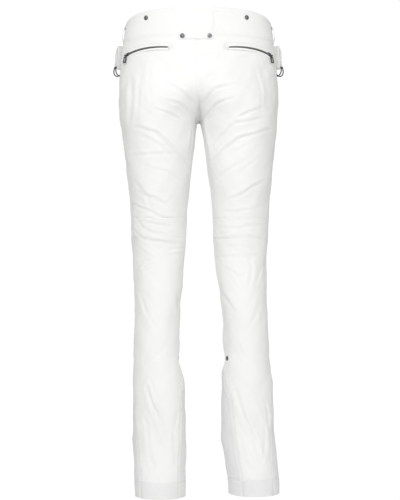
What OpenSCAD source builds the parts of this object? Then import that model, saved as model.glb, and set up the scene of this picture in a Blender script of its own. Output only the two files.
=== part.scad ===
// Ski pants: a sewn trouser shell with zips, snaps, straps and rings, shown as they hang when worn.
// Millimetres. +Z is up, -Y is the wearer's front, +X is the wearer's left.
// The origin is the centre of the waist opening, level with the top of the back waistband.

/* [Seat] */
// Half the width across the top of the waistband
waist_half = 156; // [154:1:158]
// Half the width across the hips
hip_half = 172; // [170:1:174]
// Depth of the crotch below the top of the back waistband
rise = 232; // [230:1:234]
// How far the waistband dips at the sides
side_dip = 28; // [26:1:30]
// How far the waistband dips at the centre front
front_dip = 49; // [47:1:51]

/* [Legs] */
// Length from the top of the back waistband to the left hem
left_hem_drop = 1036; // [1026:1:1042]
// Length from the top of the back waistband to the right hem
right_hem_drop = 1030; // [1026:1:1042]
// Height of the hem band
hem_height = 34; // [30:1:36]
// Depth of the knee's bending line
knee_drop = 505; // [500:1:510]
// Height of the knee panel, which takes up the bend
knee_height = 126; // [124:1:130]

/* [Cloth] */
// Thickness of the shell fabric with its lining
cloth = 1.5; // [1.2:0.1:1.6]
// Gap left between two sewn edges
seam_gap = 0.3; // [0.2:0.05:0.4]
// Width of a belt loop
loop_w = 12; // [10:1:14]

/* [Fastenings] */
// Width of a zip's coil
coil_w = 4.6; // [4:0.2:4.8]
// Width of a zip's tape
tape_w = 14; // [13:1:15]
// Diameter of a rivet or a snap's cap
rivet_d = 10; // [8:0.5:11]
// Width of the side strap
strap_w = 20; // [18:1:20]
// Diameter of the D rings' wire
ring_wire = 2.6; // [2.2:0.1:2.6]

/* [Hidden] */
SIDES = ["left", "right"];

fabric = "white";
lining = "ivory";
gunmetal = "dimgray";

// ---- The garment's surface -------------------------------------------------------------
// Each table pairs a height with a measure of the horizontal section at that height.
outer_reach = [
    [0, waist_half - 6], [-side_dip, waist_half], [-60, 161], [-100, 166],
    [-150, hip_half - 1], [-190, hip_half], [-rise, 170]
];
// Share of the depth that the centre seam keeps as the seat closes down to the crotch.
rise_share = [
    [-60, 1], [-150, 1], [-160, 0.985], [-172, 0.95], [-186, 0.87],
    [-200, 0.72], [-215, 0.49], [-225, 0.27], [-rise, 0]
];
// The fly runs straight from fly_top to fly_end.
fly_top = -90;
fly_end = -160;
fly_lean = 6;
front_depth = [
    [0, 90], [fly_top, 90], [fly_end, 97.5], [-190, 97], [-rise, 88], [-268, 84],
    [-310, 80], [-410, 72], [-505, 60], [-565, 54], [-640, 50], [-735, 50], [-862, 56], [-1042, 60]
];
back_depth = [
    [0, 91], [-60, 95], [-100, 104], [-150, 114], [-190, 111], [-rise, 98], [-268, 90],
    [-310, 84], [-410, 70], [-505, 58], [-565, 57], [-640, 59], [-735, 55], [-862, 56], [-1042, 58]
];
leg_half = [
    [-rise, 85], [-268, 79], [-310, 74], [-360, 68], [-410, 62], [-462, 61], [-515, 58],
    [-565, 54], [-617, 50], [-668, 49], [-735, 50], [-797, 55], [-862, 57], [-913, 58],
    [-965, 57], [-1042, 54]
];
// The legs part below the crotch, and the right one stands further out at the hem.
leg_centre = [[
    [-rise, 85.2], [-310, 85], [-565, 86], [-668, 89], [-735, 90], [-797, 85], [-913, 84], [-1042, 82]
], [
    [-rise, 85.2], [-268, 88], [-462, 91], [-515, 90], [-565, 93], [-668, 101], [-797, 104],
    [-913, 106], [-965, 113], [-1004, 119], [-1042, 119]
]];
centre_y = [[-rise, 0], [-310, -3], [-410, -7], [-505, -8], [-600, 0], [-680, 6], [-800, 8], [-1042, 4]];

function cleft(z) = sqrt(max(0, 1 - pow(lookup(z, rise_share), 2)));
function half_width(z) = z > -rise ? lookup(z, outer_reach) / (1 + cleft(z)) : lookup(z, leg_half);
function centre_x(leg, z) = z > -rise ? half_width(z) * cleft(z) : lookup(z, leg_centre[leg]);
function depth(phi, z) = lookup(z, sin(phi) > 0 ? back_depth : front_depth);

// A point of one leg's cloth: phi is 0 at the outer side, 90 at the back, -90 at the front and 180
// at the inner leg, and depth_in is how far the point lies inside the outer face.
function cloth_point(leg, phi, z, depth_in = 0) = [
    centre_x(leg, z) + (half_width(z) - depth_in) * cos(phi),
    lookup(z, centre_y) + (depth(phi, z) - depth_in) * sin(phi),
    z
];
// A point of the waistband, whose section is one ellipse: theta is 0 at the left and 90 at the back.
function band_point(theta, z, depth_in = 0) = [
    (lookup(z, outer_reach) - depth_in) * cos(theta),
    (depth(theta, z) - depth_in) * sin(theta),
    z
];

// Half of the seam gap as an angle, and the angle where a section reaches the centre or the inseam.
function edge_angle(z) = seam_gap / 2 / half_width(z) * 180 / PI;
function inner_angle(leg, z, edge = seam_gap / 2) = z > -rise
    ? acos(max(-1, (edge - centre_x(leg, z)) / half_width(z)))
    : 180 - edge_angle(z);

// Heights round the waist, from the sine of the angle: the rim dips further to the front.
seam_back = -60;
seam_side = -64;
seam_front = -88;
function dip(s, back, side, front) = s > 0
    ? side + (back - side) * (1 - pow(1 - s, 1.5))
    : side - (front - side) * s;
function rim_z(s) = dip(s, 0, -side_dip, -front_dip);
function seam_z(s) = dip(s, seam_back, seam_side, seam_front);
// Rows of the seat follow the seam under the band at the top, and level out above the crotch.
level_by = -200;
function row_z(phi, row) = let (
    s = abs(phi) > 90 ? sign(phi) : sin(phi),
    level = (row - level_by) / (seam_back - level_by)
) row + (seam_z(s) - seam_back) * max(0, min(1, level));

// ---- Solids made from a grid of points -----------------------------------------------------
// point(i, j, t) gives row i, column j of the outer (t = 0) or inner (t = 1) face.
module sheet(rows, cols, closed, point) {
    w = closed ? cols : cols + 1;
    face = (rows + 1) * w;
    function at(i, j, t) = t * face + i * w + j % w;
    points = [for (t = [0, 1]) for (i = [0:rows]) for (j = [0:w - 1]) point(i, j, t)];
    skins = [for (i = [0:rows - 1]) for (j = [0:cols - 1]) each [
        [at(i, j, 0), at(i, j + 1, 0), at(i + 1, j + 1, 0)],
        [at(i, j, 0), at(i + 1, j + 1, 0), at(i + 1, j, 0)],
        [at(i, j, 1), at(i + 1, j + 1, 1), at(i, j + 1, 1)],
        [at(i, j, 1), at(i + 1, j, 1), at(i + 1, j + 1, 1)]
    ]];
    ends = [for (j = [0:cols - 1]) each [
        [at(0, j, 0), at(0, j + 1, 1), at(0, j + 1, 0)],
        [at(0, j, 0), at(0, j, 1), at(0, j + 1, 1)],
        [at(rows, j, 0), at(rows, j + 1, 0), at(rows, j + 1, 1)],
        [at(rows, j, 0), at(rows, j + 1, 1), at(rows, j, 1)]
    ]];
    sides = closed ? [] : [for (i = [0:rows - 1]) each [
        [at(i, 0, 0), at(i + 1, 0, 0), at(i + 1, 0, 1)],
        [at(i, 0, 0), at(i + 1, 0, 1), at(i, 0, 1)],
        [at(i, cols, 0), at(i + 1, cols, 1), at(i + 1, cols, 0)],
        [at(i, cols, 0), at(i, cols, 1), at(i + 1, cols, 1)]
    ]];
    polyhedron(points, concat(skins, ends, sides));
}

function reversed(list) = [for (i = [len(list) - 1:-1:0]) list[i]];

// A panel of one leg, down the given rows, between two seams given as angles at each height.
// Its grid turns the same way round whether it runs towards the back or the front.
module panel(leg, heights, cols, from, to, outside = 0, thick = cloth) {
    rows = to(heights[1]) > from(heights[1]) ? heights : reversed(heights);
    on_side(leg) sheet(len(rows) - 1, cols, false, function (i, j, t)
        let (
            middle = row_z(to(rows[i]) > 0 ? 90 : -90, rows[i]),
            phi = from(middle) + (to(middle) - from(middle)) * j / cols
        )
        cloth_point(leg, phi, row_z(phi, rows[i]), outside + t * thick));
}
// A part is made on the wearer's left from its own leg's measures, and mirrored to the right.
module on_side(leg) {
    if (leg == 0) children();
    else mirror([1, 0, 0]) children();
}
// A closed band round one leg, whose depth inside the cloth may change from row to row.
module leg_ring(leg, heights, depths, thick, cols = 28) {
    on_side(leg) sheet(len(heights) - 1, cols, true, function (i, j, t)
        cloth_point(leg, 360 * j / cols, heights[i], depths[i] + t * thick));
}
// A strip of the waistband between two angles: heights are shares of the way from rim to seam.
module band(from, to, cols, shares, depths, thick) {
    sheet(len(shares) - 1, cols, false, function (i, j, t)
        let (
            theta = from + (to - from) * j / cols,
            z = rim_z(sin(theta)) + (seam_z(sin(theta)) - rim_z(sin(theta))) * shares[i]
        )
        band_point(theta, z, depths[i] + t * thick));
}

// ---- Waistband --------------------------------------------------------------------------
band_thick = 2.4;
band_end = 0.12;
module waistband_back() {
    color(fabric) band(band_end, 180 - band_end, 28, [0, 0.5, 1], [0, 0, 0], band_thick);
}
module waistband_front(from, to) {
    color(fabric) band(from, to, 14, [0, 1], [0, 0], band_thick);
}
module waistband_facing() {
    color(lining) band(-89, 269, 48, [0.04, 0.94], [3, 3], 1.2);
}
// A loop is sewn down at both ends and stands off the band between them.
module loop_at(theta, half_w, top, bottom, proud) {
    turn = half_w / norm([156 * sin(theta), 93 * cos(theta)]) * 180 / PI;
    shares = [top, top + 0.1, top + 0.16, bottom - 0.16, bottom - 0.1, bottom];
    depths = [-1.4, -1.4, -proud, -proud, -1.4, -1.4];
    band(theta - turn, theta + turn, 2, shares, depths, 1);
}
module belt_loops() {
    color(fabric) for (theta = [4, 176, -38, 218]) loop_at(theta, loop_w / 2, 0.1, 1.02, 4);
}
// The wide tab at the centre back sits a little to the wearer's left, and is riveted at its corners.
tab_shift = 5;
tab_half = 28;
module back_tab() {
    middle = 90 - tab_shift / waist_half * 180 / PI;
    turn = (tab_half + 8) / norm([156 * sin(middle), 93 * cos(middle)]) * 180 / PI;
    color(fabric) band(middle - turn, middle + turn, 8,
        [0.16, 0.26, 0.32, 0.82, 0.9, 1.16], [-1.4, -1.4, -3.4, -3.4, -1.5, -1.5], 1);
}
rivet_spots = [[tab_shift + tab_half, -63], [tab_shift - tab_half, -63], [110, -21], [-101, -21]];
function spot_theta(spot) = acos(spot[0] / lookup(spot[1], outer_reach));
function normal_angle(theta, z) = atan2(sin(theta) / depth(theta, z), cos(theta) / lookup(z, outer_reach));
// A domed metal button: its base is flat, and its rim is rounded by a cone.
module button(d, h) {
    cylinder(d = d, h = h * 0.5, $fn = 48);
    translate([0, 0, h * 0.5]) cylinder(d1 = d, d2 = d * 0.6, h = h * 0.5, $fn = 48);
}
module on_band(theta, z, proud) {
    translate(band_point(theta, z, -proud)) rotate([0, 0, normal_angle(theta, z)]) rotate([0, 90, 0]) children();
}
module waist_rivets() {
    color(gunmetal) for (i = [0:3])
        on_band(spot_theta(rivet_spots[i]), rivet_spots[i][1], i < 2 ? 2.9 : 0.5) button(rivet_d, 2);
}

// ---- Front closure -----------------------------------------------------------------------
// The tab hinges where it is sewn, at the left front, and snaps onto the right front.
tab_hinge_x = 17;
tab_length = 48;
tab_y = -92.4;
tab_mid_z = -69;
snap_spots = [-12, -24];
module waist_tab() {
    color(fabric) translate([tab_hinge_x - 1 - tab_length, tab_y - 1.6, tab_mid_z - 15])
        cube([tab_length, 1.6, 30]);
}
module tab_snap_caps() {
    color(gunmetal) for (x = snap_spots)
        translate([x, tab_y - 1.65, tab_mid_z]) rotate([90, 0, 0]) button(rivet_d, 1.8);
}
module tab_snap_studs() {
    color(gunmetal) for (x = snap_spots)
        translate([x, tab_y + 0.5, tab_mid_z]) rotate([-90, 0, 0]) cylinder(d = 8, h = 1.3, $fn = 48);
}

// ---- Zips ----------------------------------------------------------------------------------
// Sections of a zip: x points out of the cloth, and y runs across the zip.
module chain_section() {
    translate([-3.6, -tape_w / 2]) square([0.8, tape_w]);
    translate([-2.9, -coil_w / 2]) square([2.3, coil_w]);
}
slider_w = 8;
module slider_section() {
    translate([-0.3, -slider_w / 2]) square([1.4, slider_w]);
    for (side = [-1, 1]) translate([-1.05, side * (slider_w / 2 - 0.6)]) square([2.4, 1.2], center = true);
}
// The slider's two cheeks carry the pin, along X, that the pull turns on. +Y points out of the cloth.
pin_r = 0.7;
module pull_pin() {
    for (x = [-3.1, 2]) translate([x, -2.6, -1.4]) cube([1.1, 4, 2.8]);
    translate([-3.1, 0, 0]) rotate([0, 90, 0]) cylinder(r = pin_r, h = 6.2, $fn = 32);
}
pull_length = 17;
pull_w = 9;
module pull() {
    difference() {
        union() {
            translate([-1.5, -0.9, -3.4]) cube([3, 1.8, 3.4]);
            rotate([0, 90, 0]) cylinder(r = 1.5, h = 3, center = true, $fn = 32);
            translate([-pull_w / 2, -0.9, -pull_length]) cube([pull_w, 1.8, pull_length - 3.2]);
        }
        rotate([0, 90, 0]) cylinder(r = pin_r + 0.08, h = 8, center = true, $fn = 32);
        translate([-pull_w / 2 + 2, -2, -pull_length + 2.2]) cube([pull_w - 4, 4, pull_length - 8]);
    }
}
// The fly's zip runs straight up the centre front.
fly_length = norm([fly_top - fly_end, fly_lean]);
module fly_frame() {
    translate([0, -90 - fly_lean, fly_end]) rotate([-atan(fly_lean / (fly_top - fly_end)), 0, 0])
        rotate([0, 0, -90]) children();
}
module fly_zip_chain() {
    color(gunmetal) fly_frame() linear_extrude(fly_length - 1) chain_section();
}
fly_slider_at = fly_length - 13;
module fly_zip_slider() {
    color(gunmetal) fly_frame() {
        translate([0, 0, fly_slider_at]) linear_extrude(10) slider_section();
        translate([2.9, 0, fly_slider_at + 4]) rotate([0, 0, -90]) pull_pin();
    }
}
module fly_zip_pull() {
    color(gunmetal) fly_frame() translate([2.9, 0, fly_slider_at + 4]) rotate([0, 0, -90]) rotate([3, 0, 0]) pull();
}
module fly_shield() {
    color(lining) fly_frame() translate([-6.4, -15, 4]) cube([1.2, 30, fly_length - 10]);
}
// A back pocket's zip is an arc: its plane leans, and it falls away towards the side seam.
arc_centre = [44, -30, -156];
arc_lean = 30;
arc_heading = -111;
arc_r = 142;
arc_outer = 147;
arc_sweep = 43;
arc_turn = -19;
module arc_frame() {
    translate(arc_centre) rotate([0, arc_lean, arc_heading]) children();
}
module swept(from, sweep) {
    rotate([0, 0, from]) rotate_extrude(angle = sweep, $fn = 180) translate([arc_r, 0]) rotate(arc_turn) children();
}
module zip_slot() {
    arc_frame() swept(arc_outer - 0.8, arc_sweep + 1.6) square([14, 10], center = true);
}
module back_zip_chain(leg) {
    color(gunmetal) on_side(leg) arc_frame() swept(arc_outer, arc_sweep) chain_section();
}
slider_turn = 4;
pull_at = [154.9, 41, -96];
pull_heading = -52;
module pull_frame() {
    translate(pull_at) rotate([0, 0, pull_heading]) children();
}
module back_zip_slider(leg) {
    color(gunmetal) on_side(leg) {
        arc_frame() swept(arc_outer + 0.4, slider_turn) slider_section();
        pull_frame() pull_pin();
    }
}
module back_zip_pull(leg) {
    color(gunmetal) on_side(leg) pull_frame() rotate([10, 0, 0]) pull();
}
bag_rows = [-76, -100, -130, -160, -185];
module back_pocket_bag(leg) {
    color(lining) panel(leg, bag_rows, 6, function (z) 22, function (z) 62, 6.5, 1);
}

// ---- Seat and legs ---------------------------------------------------------------------------
// Rows shared by the front and back, close together where the seat closes to the crotch.
knee_top = -knee_drop + knee_height / 2;
knee_bottom = -knee_drop - knee_height / 2;
seat_rows = [
    seam_back - seam_gap, -80, -100, -125, -150, -170, -185, -200, -210, -218, -225, -229, -rise,
    -236, -250, -268, -290, -315, -345, -378, -410, knee_top + seam_gap / 2
];
knee_rows = [for (share = [0:0.2:1]) knee_top - (knee_height - seam_gap) * share - seam_gap / 2];
hem_drop = [left_hem_drop, right_hem_drop];
function hem_top(leg) = hem_height - hem_drop[leg];
function shin_rows(leg) = concat(
    [knee_bottom - seam_gap / 2, -590, -617, -642, -668, -700],
    [-735, -765, -797, -830, -862, -890, -913, -940, -965],
    [hem_top(leg) + seam_gap / 2]
);
thigh_cols = 14;
shin_cols = 10;
module back_panel(leg) {
    color(fabric) difference() {
        panel(leg, seat_rows, thigh_cols, function (z) edge_angle(z), function (z) inner_angle(leg, z));
        on_side(leg) zip_slot();
    }
}
// The centre front seam parts to let the fly's zip show.
fly_gap = 5.2;
function fly_edge(z) = lookup(z, [[fly_end - 12, seam_gap / 2], [fly_end - 2, fly_gap]]);
module front_panel(leg) {
    color(fabric) panel(leg, seat_rows, thigh_cols,
        function (z) -edge_angle(z), function (z) -inner_angle(leg, z, fly_edge(z)));
}
module knee_back(leg) {
    color(fabric) panel(leg, knee_rows, shin_cols, function (z) edge_angle(z), function (z) 180 - edge_angle(z));
}
module knee_front(leg) {
    color(fabric) panel(leg, knee_rows, shin_cols, function (z) -edge_angle(z), function (z) edge_angle(z) - 180);
}
// Gussets open the lower leg over the boot. These are half their angles at each height, and the
// inner one is turned a little about the leg.
side_apex = -765;
inner_apex = -742;
inner_turn = [4, -16];
function side_spread(z) = lookup(z, [[-1000, 43], [-913, 36], [-830, 20], [side_apex, 0]]);
function inner_spread(z) = lookup(z, [[-1000, 46], [-913, 44], [-830, 34], [-780, 18], [inner_apex, 0]]);
function inner_mid(leg, z) = 180 + lookup(z, [[-830, inner_turn[leg]], [inner_apex, 0]]);
module shin_back(leg) {
    color(fabric) panel(leg, shin_rows(leg), shin_cols,
        function (z) side_spread(z) + edge_angle(z),
        function (z) inner_mid(leg, z) - inner_spread(z) - edge_angle(z));
}
module shin_front(leg) {
    color(fabric) panel(leg, shin_rows(leg), shin_cols,
        function (z) -side_spread(z) - edge_angle(z),
        function (z) inner_mid(leg, z) + inner_spread(z) + edge_angle(z) - 360);
}
function rows_below(leg, apex) = concat([apex - 6], [for (z = shin_rows(leg)) if (z < apex - 10) z]);
module side_gusset(leg) {
    color(fabric) panel(leg, rows_below(leg, side_apex), 4,
        function (z) edge_angle(z) - side_spread(z),
        function (z) side_spread(z) - edge_angle(z));
}
module inner_gusset(leg) {
    color(fabric) panel(leg, rows_below(leg, inner_apex), 5,
        function (z) inner_mid(leg, z) - inner_spread(z) + edge_angle(z),
        function (z) inner_mid(leg, z) + inner_spread(z) - edge_angle(z));
}
module hem(leg) {
    color(fabric) leg_ring(leg, [hem_top(leg) - seam_gap / 2, hem_height / 2 - hem_drop[leg], -hem_drop[leg]],
        [0, 0, 0], 2.4);
}
// An elastic cuff inside the hem closes over the boot.
module snow_gaiter(leg) {
    color(lining) leg_ring(leg, [-900, -930, -965, -1000, -1012], [2.2, 5, 9, 13, 13], 1, 24);
}
snap_phi = [170, 148];
module calf_snap(leg) {
    z = -739;
    at = cloth_point(leg, snap_phi[leg], z, -0.5);
    out = atan2(sin(snap_phi[leg]) / depth(90, z), cos(snap_phi[leg]) / half_width(z));
    color(gunmetal) on_side(leg) translate(at) rotate([0, 0, out]) rotate([0, 90, 0]) button(rivet_d, 2);
}

// ---- Side straps -----------------------------------------------------------------------------
// A folded strap hangs off the hip, a little in front of the side seam, and holds two D rings.
// In its frame x points out of the hip, y across the strap, and z up.
strap_top = [166.8, -19, -68];
strap_heading = -40;
loop_mid = [7.5, 0, -46];
loop_r = 3;
module strap_frame(leg) {
    on_side(leg) translate(strap_top) rotate([0, 0, strap_heading]) children();
}
module side_strap(leg) {
    outer_fold = [[-0.5, 0], [1.5, 0], [8, -12], [11.2, -27], [11.9, -46], [3.1, -46], [1.6, -27], [0.2, -12]];
    inner_fold = [[1.2, -5], [6.5, -13], [9.7, -28], [10.2, -42], [4.7, -42], [3.2, -28], [1.8, -13]];
    color(fabric) strap_frame(leg) difference() {
        union() {
            rotate([90, 0, 0]) linear_extrude(strap_w, center = true) difference() {
                polygon(outer_fold);
                polygon(inner_fold);
            }
            translate(loop_mid) rotate([90, 0, 0]) cylinder(r = loop_r + 1.5, h = strap_w, center = true, $fn = 48);
        }
        translate(loop_mid) rotate([90, 0, 0]) cylinder(r = loop_r, h = strap_w + 2, center = true, $fn = 48);
    }
}
ring_half = 12;
ring_leg = 7;
module d_ring() {
    r = ring_wire / 2;
    thin = r - 0.06;
    rotate([90, 0, 0]) cylinder(r = r, h = 2 * ring_half + 2 * r, center = true, $fn = 32);
    for (y = [-ring_half, ring_half])
        translate([0, y, -ring_leg]) cylinder(r = thin, h = ring_leg, $fn = 32);
    translate([0, 0, -ring_leg]) rotate([90, 0, -90]) rotate([0, 0, 180])
        rotate_extrude(angle = 180, $fn = 64) translate([ring_half, 0]) circle(r = thin, $fn = 32);
}
module d_rings(leg) {
    color(gunmetal) strap_frame(leg) for (x = [-1.45, 1.45]) translate(loop_mid + [x, 0, 0]) d_ring();
}

waistband_back();
waistband_front(-89.9, -band_end);  // waistband_front_left
waistband_front(180 + band_end, 269.9);  // waistband_front_right
waistband_facing();
waist_tab();
tab_snap_caps();
tab_snap_studs();
waist_rivets();
belt_loops();
back_tab();
fly_zip_chain();
fly_zip_slider();
fly_zip_pull();
fly_shield();
for (leg = [0, 1]) {
    side = SIDES[leg];
    back_panel(leg);
    front_panel(leg);
    knee_back(leg);
    knee_front(leg);
    shin_back(leg);
    shin_front(leg);
    side_gusset(leg);
    inner_gusset(leg);
    hem(leg);
    snow_gaiter(leg);
    calf_snap(leg);
    back_pocket_bag(leg);
    back_zip_chain(leg);
    back_zip_slider(leg);
    back_zip_pull(leg);
    side_strap(leg);
    d_rings(leg);
}
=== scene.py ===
import math

import bmesh
import bpy
import numpy as np
from mathutils import Matrix, Vector
from mathutils.bvhtree import BVHTree


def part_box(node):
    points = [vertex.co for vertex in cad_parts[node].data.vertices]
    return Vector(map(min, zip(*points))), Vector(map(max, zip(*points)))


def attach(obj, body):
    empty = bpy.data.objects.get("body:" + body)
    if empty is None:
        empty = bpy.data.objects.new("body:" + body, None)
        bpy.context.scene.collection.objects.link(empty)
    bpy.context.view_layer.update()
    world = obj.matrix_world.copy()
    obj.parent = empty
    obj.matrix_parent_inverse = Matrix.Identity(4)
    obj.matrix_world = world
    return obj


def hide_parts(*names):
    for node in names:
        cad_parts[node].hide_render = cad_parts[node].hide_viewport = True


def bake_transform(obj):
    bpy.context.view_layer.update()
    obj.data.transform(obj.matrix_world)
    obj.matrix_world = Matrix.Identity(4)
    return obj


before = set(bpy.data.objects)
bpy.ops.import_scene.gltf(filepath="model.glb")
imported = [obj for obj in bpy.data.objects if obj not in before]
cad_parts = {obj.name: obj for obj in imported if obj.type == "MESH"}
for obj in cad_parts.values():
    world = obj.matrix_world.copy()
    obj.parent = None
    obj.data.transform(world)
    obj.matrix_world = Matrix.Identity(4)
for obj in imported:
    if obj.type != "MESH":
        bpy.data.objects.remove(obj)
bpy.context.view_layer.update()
SIDES = ("left", "right")
SIGN = {"left": 1.0, "right": -1.0}
MM = 0.001

# Lengths are in metres, unless a comment says mm. X points to the wearer's left and Y to the back.

# ---- Measuring the CAD shell ----
FAR = 0.5                     # rays start this far out, well outside the pants
RAY_GAP = 0.6 * MM            # between rays side by side, more than a seam's gap
WAIST = (0.158, 0.093)        # half the waist's width and depth
RIM_DIP = (0.0, -28 * MM, -49 * MM)              # the waist rim's height at back, side and front
SEAM_DIP = (-60 * MM, -64 * MM, -88 * MM)        # the band's lower seam, likewise
SHELL = ("back_panel", "front_panel", "knee_back", "knee_front", "shin_back", "shin_front",
         "side_gusset", "inner_gusset", "hem")


def tree_of(names):
    """A ray-casting tree of the CAD nodes with these names."""
    points, faces = [], []
    for name in names:
        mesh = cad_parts[name].data
        offset = len(points)
        points += [v.co.copy() for v in mesh.vertices]
        faces += [[offset + i for i in p.vertices] for p in mesh.polygons]
    return BVHTree.FromPolygons(points, faces)


def shell_tree(side):
    """A side's outer cloth, with the zips that fill the gaps in it."""
    return tree_of([f"{part}_{side}" for part in SHELL]
                   + ["waistband_back", f"waistband_front_{side}"]
                   + [f"back_zip_chain_{side}", "fly_zip_chain"])


def hit(tree, x, y, z, dx, dy):
    """The outermost point of the shell on level rays that come in from (dx, dy) to (x, y).

    Three rays lie side by side, so that one of them misses the narrow gap of a seam.
    """
    length = math.hypot(dx, dy)
    dx, dy = dx / length, dy / length
    best, reach = None, -math.inf
    for off in (0.0, RAY_GAP, -RAY_GAP):
        start = Vector((x + dx * FAR - dy * off, y + dy * FAR + dx * off, z + off))
        found = tree.ray_cast(start, Vector((-dx, -dy, 0)))[0]
        if found is None:
            continue
        out = (found.x - x) * dx + (found.y - y) * dy
        if out > reach:
            best, reach = found, out
    return best


def dip(turn, back, side, front):
    """A height that falls from back through side to front; turn is 1 at the back and -1 in front."""
    if turn > 0:
        return side + (back - side) * (1 - (1 - turn) ** 1.5)
    return side - (front - side) * turn


def turn_at(x, y):
    """The sine of the direction round the waist's ellipse."""
    return math.sin(math.atan2(y / WAIST[1], x / WAIST[0]))


def rim_at(x, y):
    """The waist rim's height."""
    return dip(turn_at(x, y), *RIM_DIP)


def seam_at(x, y):
    """The height of the seam under the waistband."""
    return dip(turn_at(x, y), *SEAM_DIP)


# ---- The garment's grid ----
HALF = 60                     # columns from the side seam to the centre seam or the inseam
COLUMNS = 2 * HALF
SEAM_Z = SEAM_DIP[0]          # where the band ends at the centre back
BAND_LOW = -0.1               # just below the waistband all the way round
LEVEL_BY = -0.2               # rows are level from here down
SEARCH_END = -0.4             # well below the crotch
BACK_INSET = 1.4 * MM         # rays this far from the centre plane meet cloth, not the back seam's gap
FRONT_INSET = 6 * MM          # and this far they miss the fly's zip
ROW_STEP = 0.5 * MM
BAND_ROWS = 16                # rows in the waistband
SEAT_ROWS, LEG_ROWS, HEM_ROWS = 53, 235, 10
HEM_TOP = {s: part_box(f"hem_{s}")[1].z for s in SIDES}
HEM_END = {s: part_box(f"hem_{s}")[0].z for s in SIDES}


def knee_middle(side):
    low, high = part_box(f"knee_back_{side}")
    return tuple((low + high) / 2)[:2]


KNEE_MIDDLE = {s: knee_middle(s) for s in SIDES}


def crotch_height(tree, sign):
    """Where the seat ends and the legs part."""
    z = LEVEL_BY
    while hit(tree, sign * BACK_INSET, 0, z, 0, 1) is not None and z > SEARCH_END:
        z -= ROW_STEP
    return z


def warp(nominal, x, y):
    """The height at which a row that is level at the back runs round to (x, y)."""
    seam = seam_at(x, y)
    if nominal > SEAM_Z:
        rim = rim_at(x, y)
        return rim + (seam - rim) * nominal / SEAM_Z
    return nominal + (seam - SEAM_Z) * max(0.0, (nominal - LEVEL_BY) / (SEAM_Z - LEVEL_BY))


def section(tree, sign, z, crotch):
    """A leg's middle at this height, and the directions of its centre seam at back and front."""
    level = min(z, BAND_LOW)
    x_out = hit(tree, 0, 0, level, sign, 0).x
    if z > crotch:
        middle = Vector((x_out * 0.5, 0, z))
        ends = []
        for face, inset in ((1, BACK_INSET), (-1, FRONT_INSET)):
            seam = hit(tree, sign * inset, 0, level, 0, face)
            ends.append(math.atan2(abs(seam.y), -abs(middle.x)))
        return middle, ends
    x_in = hit(tree, x_out * 0.5, 0, z, -sign, 0).x
    x = (x_in + x_out) / 2
    y_back, y_front = hit(tree, x, 0, z, 0, 1).y, hit(tree, x, 0, z, 0, -1).y
    return Vector((x, (y_back + y_front) / 2, z)), [math.pi, math.pi]


TREES = {side: shell_tree(side) for side in SIDES}
CROTCH = max(crotch_height(TREES[side], SIGN[side]) for side in SIDES)


def row_heights(side):
    """The rows' heights where they cross the centre back, from the rim to the hem."""
    return np.concatenate([
        np.linspace(-0.4 * MM, SEAM_Z, BAND_ROWS + 1)[:-1],
        np.linspace(SEAM_Z, CROTCH, SEAT_ROWS + 1)[:-1],
        np.linspace(CROTCH - ROW_STEP, HEM_TOP[side], LEG_ROWS + 1)[:-1],
        np.linspace(HEM_TOP[side], HEM_END[side] + 0.3 * MM, HEM_ROWS + 1)])


def surface_point(tree, middle, nominal, dx, dy):
    """Where the shell lies in direction (dx, dy) from a leg's middle, on the row called nominal."""
    p = middle + Vector((dx, dy, 0)) * 0.08
    for _ in range(2):
        z = warp(nominal, p.x, p.y)
        found = hit(tree, middle.x, middle.y, z, dx, dy)
        if found is None:
            found = hit(tree, middle.x, middle.y, z - 3 * MM, dx, dy) or p
        p = Vector((found.x, found.y, z))
    return p


def measure(side):
    """Points of the shell's outer face: rows from rim to hem, columns inner front, side, inner back."""
    tree, sign, rows = TREES[side], SIGN[side], row_heights(side)
    grid = np.zeros((len(rows), COLUMNS + 1, 3))
    for i, nominal in enumerate(rows):
        middle, ends = section(tree, sign, nominal, CROTCH)
        for j in range(COLUMNS + 1):
            share = (j - HALF) / HALF
            angle = min(abs(share) * ends[0 if share > 0 else 1], math.pi - 1e-4)
            dx, dy = sign * math.cos(angle), math.copysign(math.sin(angle), share)
            grid[i, j] = surface_point(tree, middle, nominal, dx, dy)
        grid[i] = without_strays(grid[i], np.array(middle))
    return rows, grid


def without_strays(points, middle):
    """Mends points whose ray missed or slipped through a slot, from the points on either side."""
    beside, most = 6, 5 * MM
    reach = np.hypot(points[:, 0] - middle[0], points[:, 1] - middle[1])
    around = np.array([np.median(reach[max(0, k - beside):k + beside + 1]) for k in range(len(reach))])
    good = np.flatnonzero(np.abs(reach - around) <= most)
    return np.stack([np.interp(np.arange(len(points)), good, column[good]) for column in points.T], 1)


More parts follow.
